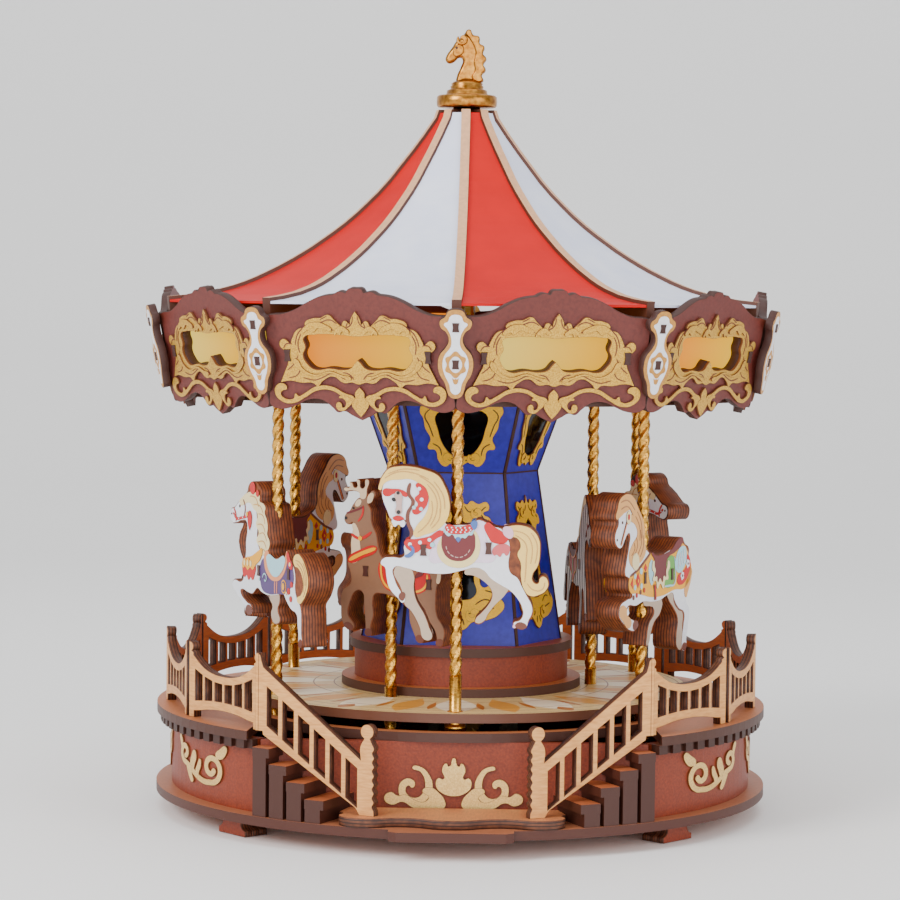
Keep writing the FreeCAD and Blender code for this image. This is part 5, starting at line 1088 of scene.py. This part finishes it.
cloth_prints = [
    # Both far legs below are laid in beige as painted shade.
    ("beige", [(-12.1, 32.4), (-16.9, 32.2), (-18.0, 29.1), (-22.3, 26.2), (-26.0, 25.0), (-26.0, 20.9),
        (-25.1, 12.8), (-21.4, 14.0),
               (-20.9, 17.5), (-21.9, 23.4), (-18.0, 27.2), (-13.8, 30.0)], 0),
    ("beige", [(9.3, 31.2), (3.1, 30.7), (-7.3, 30.3), (-6.2, 26.8), (-0.2, 23.5), (2.1, 20.4), (4.6, 16.4),
        (5.9, 16.5), (5.5, 19.1),
               (3.9, 23.3), (-0.8, 27.4)], 0),
    ("white", cloth_body, 1),
    ("tan", [(33.9, 59.6), (32.6, 62.8), (31.5, 65.0), (27.7, 66.8), (22.3, 66.9), (18.8, 65.6), (14.8, 62.0),
        (10.7, 58.1), (9.2, 54.2),
             (9.1, 50.3), (7.7, 48.4), (10.4, 45.1), (15.5, 43.6), (19.5, 43.0), (22.6, 47.0), (19.6, 50.6),
                 (15.6, 53.7), (17.6, 56.7),
             (21.7, 58.8), (20.7, 61.2), (26.6, 61.1), (29.6, 60.1)], 2),
    ("tan", [(-33.6, 39.6), (-33.2, 35.9), (-30.4, 31.8), (-28.8, 30.0), (-27.0, 32.6), (-29.2, 36.6),
        (-30.9, 39.0)], 2),
    ("tan", [(23.4, 27.8), (23.8, 29.8), (29.1, 30.7), (30.0, 28.3), (27.1, 25.9), (21.8, 23.2), (19.6, 24.6),
        (20.6, 26.3)], 2),
    ("gold", [(21.8, 39.7), (15.5, 41.2), (3.3, 46.7), (0.1, 45.7), (-14.6, 46.6), (-25.2, 48.4), (-31.0, 43.4),
        (-33.4, 38.9),
              (-28.8, 33.8), (-17.9, 33.3), (-7.3, 32.0), (3.2, 32.2), (9.3, 33.2), (15.5, 34.2), (21.4, 35.2)],
                  2),
    ("sky", [(3.6, 44.6), (1.6, 43.2), (1.8, 36.4), (3.2, 36.2)], 3),
    ("green", [(-10.6, 43.6), (-16.4, 44.6), (-17.6, 40.0), (-17.0, 35.8), (-8.8, 35.4)], 3),
    ("sky", stroke([(-8.6, 35.0), (-13, 35.0), (-17.6, 35.4), (-18.2, 40), (-17.2, 44.6)], 0.7), 4),
    ("maroon", [(3.1, 46.9), (0.1, 45.9), (-6.1, 45.7), (-14.6, 47.0), (-20.5, 50.1), (-25.0, 50.1),
        (-24.3, 48.6), (-17.8, 45.9),
                (-11.4, 44.4), (-9.9, 42.1), (-10.9, 39.1), (-6.2, 37.0), (-1.0, 37.9), (0.6, 41.5),
                    (0.7, 44.4)], 4),
    ("cream", [(1.4, 44.2), (2.8, 41.4), (1.2, 40.0), (2.2, 37.6), (-0.6, 37.2), (-2.0, 34.6), (-4.4, 36.2),
        (-7.4, 34.4), (-8.8, 37.0),
               (-11.6, 37.4), (-11.2, 39.6), (-13.0, 41.4), (-11.4, 43.6), (-10.6, 41.8), (-9.6, 40.2),
                   (-9.4, 38.2), (-7.6, 38.6),
               (-6.4, 36.6), (-4.2, 38.0), (-2.2, 36.8), (-1.4, 38.8), (0.4, 38.8), (-0.2, 41.0), (0.8, 42.2)],
                   5),
    ("red", [(-20.0, 36.6), (-28.4, 40.6), (-29.0, 44.4), (-32.0, 42.2), (-31.4, 38.9), (-22.4, 34.6)], 3),
    ("sky", [(-19.2, 44.8), (-26.8, 47.4), (-28.5, 44.6), (-27.9, 41.7), (-20.0, 39.1)], 3),
    ("red", [(14.6, 41.0, 1), (16.6, 38.3, 1), (14.6, 35.8, 1), (12.6, 38.3, 1)], 3), ("red",
        [(19.0, 39.6, 1), (21.0, 37.6, 1), (19.0, 35.8, 1)], 3),
    ("red", [(8.4, 43.6, 1), (9.6, 42.0, 1), (8.0, 40.9, 1), (6.8, 42.2, 1)], 3), ("sky",
        [(17.1, 40.9), (18.2, 39.9), (17.1, 39.0), (16.2, 39.9)], 3),
    ("sky", [(17.1, 37.2), (18.2, 36.2), (17.1, 35.3), (16.2, 36.2)], 3), ("sky",
        [(12.0, 42.4), (13.2, 41.2), (11.8, 40.2), (10.8, 41.2)], 3),
    ("sky", [(11.6, 37.4), (12.6, 36.3), (11.6, 35.3), (10.6, 36.3)], 3), ("gold", dot(14.6, 38.3, 0.6), 4),
    ("tenon", tenon_at(8.7, 38.9, 1.9), 6), ("tenon", tenon_at(-15.2, 38.7, 1.9), 6),
    ("black", dot(28.4, 58.0, 0.5), 3), ("black", dot(32.8, 52.6, 0.4), 3), ("salmon",
        stroke([(24.4, 58.4), (27.6, 53.6), (29.4, 50.6)], 1.0), 3),
    ("hoof", stroke([(24.8, 58.6), (28.0, 53.8), (29.9, 50.9)], 0.35), 4), ("cream", dot(23.4, 59.4, 1.9, 1.2),
        4), ("red", dot(23.6, 59.6, 0.8, 1.3), 5),
    ("cream", [(14.4, 42.6), (18.6, 42.4), (19.2, 46.6), (15.8, 47.4)], 3), ("hoof",
        [(13.8, 24.1), (15.5, 22.6), (17.9, 22.6), (17.4, 25.2)], 3),
    ("hoof", [(-26.3, 12.6), (-29.0, 12.5), (-29.4, 14.4), (-26.1, 14.2)], 3), ("hoof",
        stroke([(21.2, 40.2), (15.4, 41.7), (9.0, 44.4), (3.6, 47.0)], 0.9), 3),
    ("red", stroke([(-0.2, 36.2), (-0.9, 33.4), (-1.2, 31.0)], 0.9), 4), ("hoof",
        stroke([(1.0, 36.2), (0.2, 33.4), (0.0, 31.0)], 0.6), 4),
]
for order, (x, y) in enumerate(((9.2, 34.9), (12.4, 34.4), (15.6, 33.6), (18.4, 33.0))):
    cloth_prints.append(("red" if order % 2 == 0 else "hoof", dot(x, y, 0.75, 1.1), 4))
for x, y in ((-24.6, 37.6), (-29.6, 41.4)):
    for petal in range(5):
        cloth_prints.append(("white", dot(x + 0.95 * math.cos(petal * 1.257),
            y + 0.95 * math.sin(petal * 1.257), 0.62), 4))
    cloth_prints.append(("black", dot(x, y, 0.45), 5))
for shift in range(4):
    cloth_prints.append(("white", stroke([(-20.8 - 1.7 * shift, 45.0 + 0.5 * shift), (-21.2 - 1.7 * shift, 43),
        (-21.0 - 1.6 * shift, 40.2 + 0.5 * shift)], 0.6), 4))
for strand in (((30, 64.6), (24, 65), (18, 61.6)), ((29.6, 62.4), (24, 63), (19.6, 60)), ((16, 61),
    (12.4, 57.4), (11.6, 52)), ((17.4, 59.6), (13.8, 56), (13.4, 51.4)),
               ((13, 55), (12.2, 50), (15.6, 46.6)), ((10.6, 53), (10.2, 49.4), (13, 46)), ((16.4, 52.6),
                   (15.4, 49.6), (18.4, 46.6)), ((18.4, 51), (17.6, 49), (20.4, 46.8))):
    cloth_prints.append(("curl", stroke(list(strand), 0.42), 3))
squeeze = 0.8
for node in ("blanket_horse_right", "blanket_horse_left"):
    animal_piece(node + "_cutout", node, shifted(cloth_core, 0, 0, squeeze),
                 [(colour, shifted(shape, 0, 0, squeeze), *rest) for colour, shape, *rest in cloth_prints])

# Deer: tan coat with a fawn throat, branching antlers, a red and yellow breast
# strap and a red saddle cloth.
deer_core = [(13.9, 58.3), (12.6, 60.4), (10.2, 62.7), (7.4, 63.0), (4.7, 65.5), (3.6, 63.9), (6.4, 61.2),
    (5.4, 59.0), (4.9, 54.6), (3.0, 50.7),
             (2.2, 46.6), (0.6, 43.4), (-4, 41.4), (-12, 40.6), (-18.6, 39.6), (-21.0, 41.6), (-22.4, 38.4),
                 (-20.6, 35), (-20.2, 31),
             (-20.6, 26.0), (-23.6, 21.0), (-22.8, 15.6, 1), (-20.4, 15.6, 1), (-20.2, 19.4), (-17.2, 24),
                 (-14.2, 28), (-13.2, 24.6),
             (-16.6, 19.6), (-15.4, 16.2, 1), (-13, 16.4, 1), (-10.2, 22.4), (-8.6, 29.0), (-3.0, 30.8),
                 (1.0, 31.4), (3.6, 31.0),
             (4.3, 28.6), (4.0, 24), (5.0, 20.4), (4.6, 17.2, 1), (7.2, 17.2, 1), (7.4, 21), (8.0, 27.7),
                 (8.8, 31.6), (11.0, 31.6),
             (13.2, 28.0), (14.0, 23.9), (11.4, 20.1), (12.3, 18.4, 1), (14.5, 18.7, 1), (16.5, 21.1),
                 (17.1, 26.0), (16.5, 31.8),
             (13.4, 34.4), (13.6, 38.2), (14.6, 40.9), (13.3, 44.0), (13.5, 47.6), (12.7, 51.6), (12.8, 54.3),
                 (13.5, 53.7), (15.7, 54.4),
             (15.8, 56.6)]
antlers = [(7.6, 62.4), (9.8, 62.6), (10.2, 64.2), (12.6, 64.9), (16.2, 65.0), (15.9, 65.9), (13.9, 66.2),
    (14.0, 67.7), (12.8, 67.6), (12.0, 66.2),
           (11.0, 66.3), (11.1, 68.7), (9.8, 68.6), (9.3, 66.1), (8.2, 66.2), (7.6, 68.9), (6.2, 68.7),
               (6.8, 65.6)]
deer_prints = [
    ("deer", deer_core, 1, -0.28),
    ("fawn", [(12.4, 51.6), (12.4, 54.2), (10.6, 52.8), (9.6, 48), (10, 42), (13.6, 41.4), (13.0, 44),
        (13.1, 47.6)], 2),
    ("fawn", [(9.6, 62.2), (11.6, 60.6), (11.2, 59.8), (9.2, 61)], 2), ("fawn",
        [(6.9, 61.9), (4.9, 64.6), (4.3, 63.7), (6.4, 61.0)], 2),
    ("fawn", [(-20.6, 38.8), (-21.2, 41.0), (-22.0, 38.4), (-20.8, 36)], 2),
    ("red", stroke([(14.0, 41.6), (8.8, 44.2), (2.9, 46.4)], 3.0), 3), ("gold",
        stroke([(13.7, 41.9), (8.8, 44.3), (3.2, 46.3)], 1.3), 4),
    ("red", stroke([(13.0, 50.6), (9.6, 49.2), (5.0, 51.6)], 1.0), 3), ("gold", dot(9.4, 49.3, 0.8), 4),
    ("maroon", stroke([(15.0, 57.4), (11.6, 58.4), (8.2, 59.8)], 0.7), 3), ("red",
        stroke([(8.4, 60.2), (8.6, 57.4), (10.4, 54.8)], 0.7), 3),
    ("black", dot(12.2, 59.2, 0.4), 4), ("black", dot(15.2, 55.8, 0.55), 3),
    ("red", [(1.0, 42.6), (-4, 41.0), (-12, 40.2), (-17.4, 39.4), (-17.0, 34.6), (-12.6, 32.0), (-5, 32.0),
        (0.4, 34.4)], 2),
    ("gold", stroke([(1.2, 41.8), (0.0, 35.2), (-5, 32.8), (-12.4, 32.8), (-16.4, 35.2), (-16.8, 38.8)], 0.8),
        3),
    ("cream", dot(-8.0, 35.2, 1.6), 3), ("maroon", [(-0.6, 42.0), (-4, 41.0), (-12, 40.2), (-15.4, 39.6),
        (-12.6, 37.4), (-7.4, 36.6), (-2.8, 38.4)], 4),
    ("tenon", tenon_at(7.2, 38.6, 1.7), 5), ("tenon", tenon_at(-17.4, 35.6, 1.7), 5),
    ("hoof", [(-22.6, 15.9), (-20.6, 15.9), (-20.6, 17.6), (-22.9, 17.6)], 3), ("hoof",
        [(-15.3, 16.5), (-13.2, 16.6), (-12.6, 18.2), (-15.6, 18.2)], 3),
    ("hoof", [(4.9, 17.5), (7.0, 17.5), (7.1, 19.2), (4.9, 19.2)], 3), ("hoof",
        [(12.4, 18.8), (14.4, 19.0), (15.6, 20.6), (12.2, 20.2)], 3),
    ("fawn", antlers, 2, -0.2),
]
deer_shape = deer_core[:3] + antlers[1:] + [(5.9, 63.4)] + deer_core[4:]
for node in ("deer_front", "deer_rear"):
    animal_piece(node + "_cutout", node, deer_shape, deer_prints)

# Zebra: striped coat with a bristling mane, maroon saddle edged in orange and a
# pointed red cloth with a green strip.
stripes = surface("print_stripes", rgb(236, 232, 226), 0.42, vary=0.05, scale=600, bump=0.06)
nodes, links = stripes.node_tree.nodes, stripes.node_tree.links
shader = nodes["Principled BSDF"]
wave = nodes.new("ShaderNodeTexWave")
wave.bands_direction = "Y"
wave.inputs["Scale"].default_value = 92
wave.inputs["Distortion"].default_value = 5.5
wave.inputs["Detail"].default_value = 1.0
wave.inputs["Detail Scale"].default_value = 0.7
links.new(next(n for n in nodes if n.type == "TEX_COORD").outputs["Object"], wave.inputs["Vector"])
step = nodes.new("ShaderNodeMath")
step.operation = "GREATER_THAN"
step.inputs[1].default_value = 0.52
links.new(wave.outputs["Fac"], step.inputs[0])
mix = nodes.new("ShaderNodeMix")
mix.data_type = "RGBA"
links.new(step.outputs[0], mix.inputs["Factor"])
links.new(shader.inputs["Base Color"].links[0].from_socket, mix.inputs["A"])
mix.inputs["B"].default_value = rgb(26, 20, 22)
links.new(mix.outputs["Result"], shader.inputs["Base Color"])
paint["stripes"] = stripes
zebra_core = [(17.6, 52.6), (13.0, 58.4), (9.6, 60.8), (5.6, 58.0), (1.6, 52.0), (-1.4, 45.0), (-3.6, 41.4),
    (-9.6, 41.0), (-15.0, 42.6),
              (-20.4, 41.0), (-23.6, 37.0), (-26.6, 29.0), (-27.4, 21.4), (-25.8, 21.0), (-24.0, 28.0),
                  (-22.8, 31.0), (-21.0, 25.0),
              (-22.4, 18.0), (-20.6, 12.8, 1), (-17.6, 13.4, 1), (-18.2, 19.4), (-15.6, 26.0), (-12.4, 28.8),
                  (-5.0, 28.2), (1.0, 28.0),
              (2.4, 22.0), (0.6, 14.6), (3.2, 12.4, 1), (5.4, 14.0, 1), (5.8, 22.0), (7.6, 28.6), (10.6, 22.6),
                  (13.8, 17.8, 1),
              (16.4, 18.8, 1), (14.4, 24.6), (12.8, 31.4), (10.4, 37.0), (11.0, 43.0), (14.4, 45.8),
                  (18.0, 43.6), (21.4, 44.4),
              (21.6, 47.4)]
zebra_prints = [
    ("stripes", zebra_core, 1, -0.25),
    ("cream", [(12.4, 58.0), (9.6, 60.2), (6.0, 57.6), (2.2, 51.8), (-0.6, 45.6), (0.4, 45.4), (3.4, 50.8),
        (7.2, 55.8), (10.4, 57.4)], 2),
    ("red", [(-4.2, 39.4), (-9.6, 38.2), (-15.0, 39.6), (-15.8, 34.4), (-12.4, 32.2), (-9.8, 29.2, 1),
        (-7.2, 32.2), (-3.8, 34.4)], 2),
    ("gold", stroke([(-15.2, 39.4), (-15.7, 34.4), (-12.4, 32.2), (-9.8, 29.4), (-7.2, 32.2), (-3.9, 34.4),
        (-4.3, 39.2)], 0.6), 3),
    ("green", stroke([(-9.7, 37.8), (-9.8, 35), (-9.8, 32)], 1.3), 3),
    ("maroon", [(-1.2, 44.4), (-3.8, 41.2), (-9.6, 40.7), (-15.0, 42.2), (-18.0, 41.4), (-14.8, 38.8),
        (-9.6, 37.4), (-4.2, 39.0)], 4),
    ("salmon", stroke([(-1.4, 43.6), (-4.4, 39.2), (-9.6, 37.8), (-14.6, 39.2), (-17.6, 41.2)], 0.7), 5),
    ("black", dot(14.6, 51.0, 0.5), 3), ("black", [(18.4, 44.1), (21.1, 44.7), (21.2, 46.8), (19.6, 46.2)], 3),
    ("maroon", stroke([(13.4, 46.6), (15.2, 49.4), (18.4, 51.2)], 0.7), 4), ("tenon",
        tenon_at(1.6, 36.4, 1.7), 5),
    ("tenon", tenon_at(-18.6, 35.6, 1.7), 5), ("hoof", [(-20.2, 13.2), (-17.8, 13.6), (-18.0, 15.4),
        (-20.8, 15.2)], 3),
    ("hoof", [(1.6, 14.0), (3.2, 12.8), (5.1, 14.2), (5.2, 15.6), (1.4, 15.4)], 3), ("hoof",
        [(13.8, 18.3), (15.9, 19.1), (15.2, 20.8), (12.8, 19.8)], 3),
]
animal_piece("zebra_cutout", "zebra", zebra_core, zebra_prints)

# Stage: a pale floor running up into a backdrop, with soft studio lights.
floor_paint = surface("studio_floor", rgb(252, 252, 252), 0.8, vary=0.01, scale=6, bump=0.0)
sweep = bmesh.new()
profile = [(-2.5, 0.0), (0.9, 0.0), (1.15, 0.03), (1.35, 0.12), (1.5, 0.3), (1.55, 0.6), (1.55, 3.0)]
rows = [[sweep.verts.new((x, y, z - 0.0002)) for x in (-3.0, 3.0)] for y, z in profile]
for first, second in zip(rows, rows[1:]):
    sweep.faces.new((first[0], first[1], second[1], second[0]))
sweep_mesh = bpy.data.meshes.new("backdrop")
for polygon in sweep.faces:
    polygon.smooth = True
sweep.to_mesh(sweep_mesh)
sweep.free()
sweep_mesh.materials.append(floor_paint)
backdrop = bpy.data.objects.new("backdrop", sweep_mesh)
bpy.context.scene.collection.objects.link(backdrop)


def lamp(name, kind, place, aim, energy, size, colour=(1, 1, 1)):
    data = bpy.data.lights.new(name, kind)
    data.energy = energy
    data.color = colour
    if kind == "AREA":
        data.shape = "RECTANGLE"
        data.size, data.size_y = size
    obj = bpy.data.objects.new(name, data)
    bpy.context.scene.collection.objects.link(obj)
    obj.location = place
    obj.rotation_euler = (Vector(aim) - Vector(place)).to_track_quat("-Z", "Y").to_euler()
    return obj


lamp("key_left", "AREA", (-1.0, -0.95, 0.9), (0, 0, 0.13), 18, (0.7, 0.7))
lamp("fill_right", "AREA", (1.1, -0.9, 0.55), (0, 0, 0.13), 8, (0.9, 0.9))
lamp("front_soft", "AREA", (0.0, -1.5, 0.35), (0, 0, 0.12), 8, (1.2, 0.7))
lamp("top_soft", "AREA", (0.0, 0.0, 1.4), (0, 0, 0.1), 9, (1.4, 1.4))
world = bpy.data.worlds.new("studio")
bpy.context.scene.world = world
world.use_nodes = True
world.node_tree.nodes["Background"].inputs["Color"].default_value = (1, 1, 1, 1)
world.node_tree.nodes["Background"].inputs["Strength"].default_value = 0.62

# Camera: level with the canopy's underside, a little right of the front and
# tilted by a fraction of a degree.
camera_data = bpy.data.cameras.new("camera")
camera_data.lens = 117.4
camera_data.sensor_width = 36
camera_data.shift_x = -0.0147
camera = bpy.data.objects.new("camera", camera_data)
bpy.context.scene.collection.objects.link(camera)
bearing, pitch, roll = math.radians(1.41), math.radians(3.07), math.radians(0.6)
distance, eye_height = 1.0036, 0.1754
camera.matrix_world = (Matrix.Translation((distance * math.sin(bearing), -distance * math.cos(bearing),
    eye_height))
                       @ Matrix.Rotation(bearing, 4, "Z") @ Matrix.Rotation(math.pi / 2 - pitch, 4, "X")
                       @ Matrix.Rotation(roll, 4, "Z"))
bpy.context.scene.camera = camera
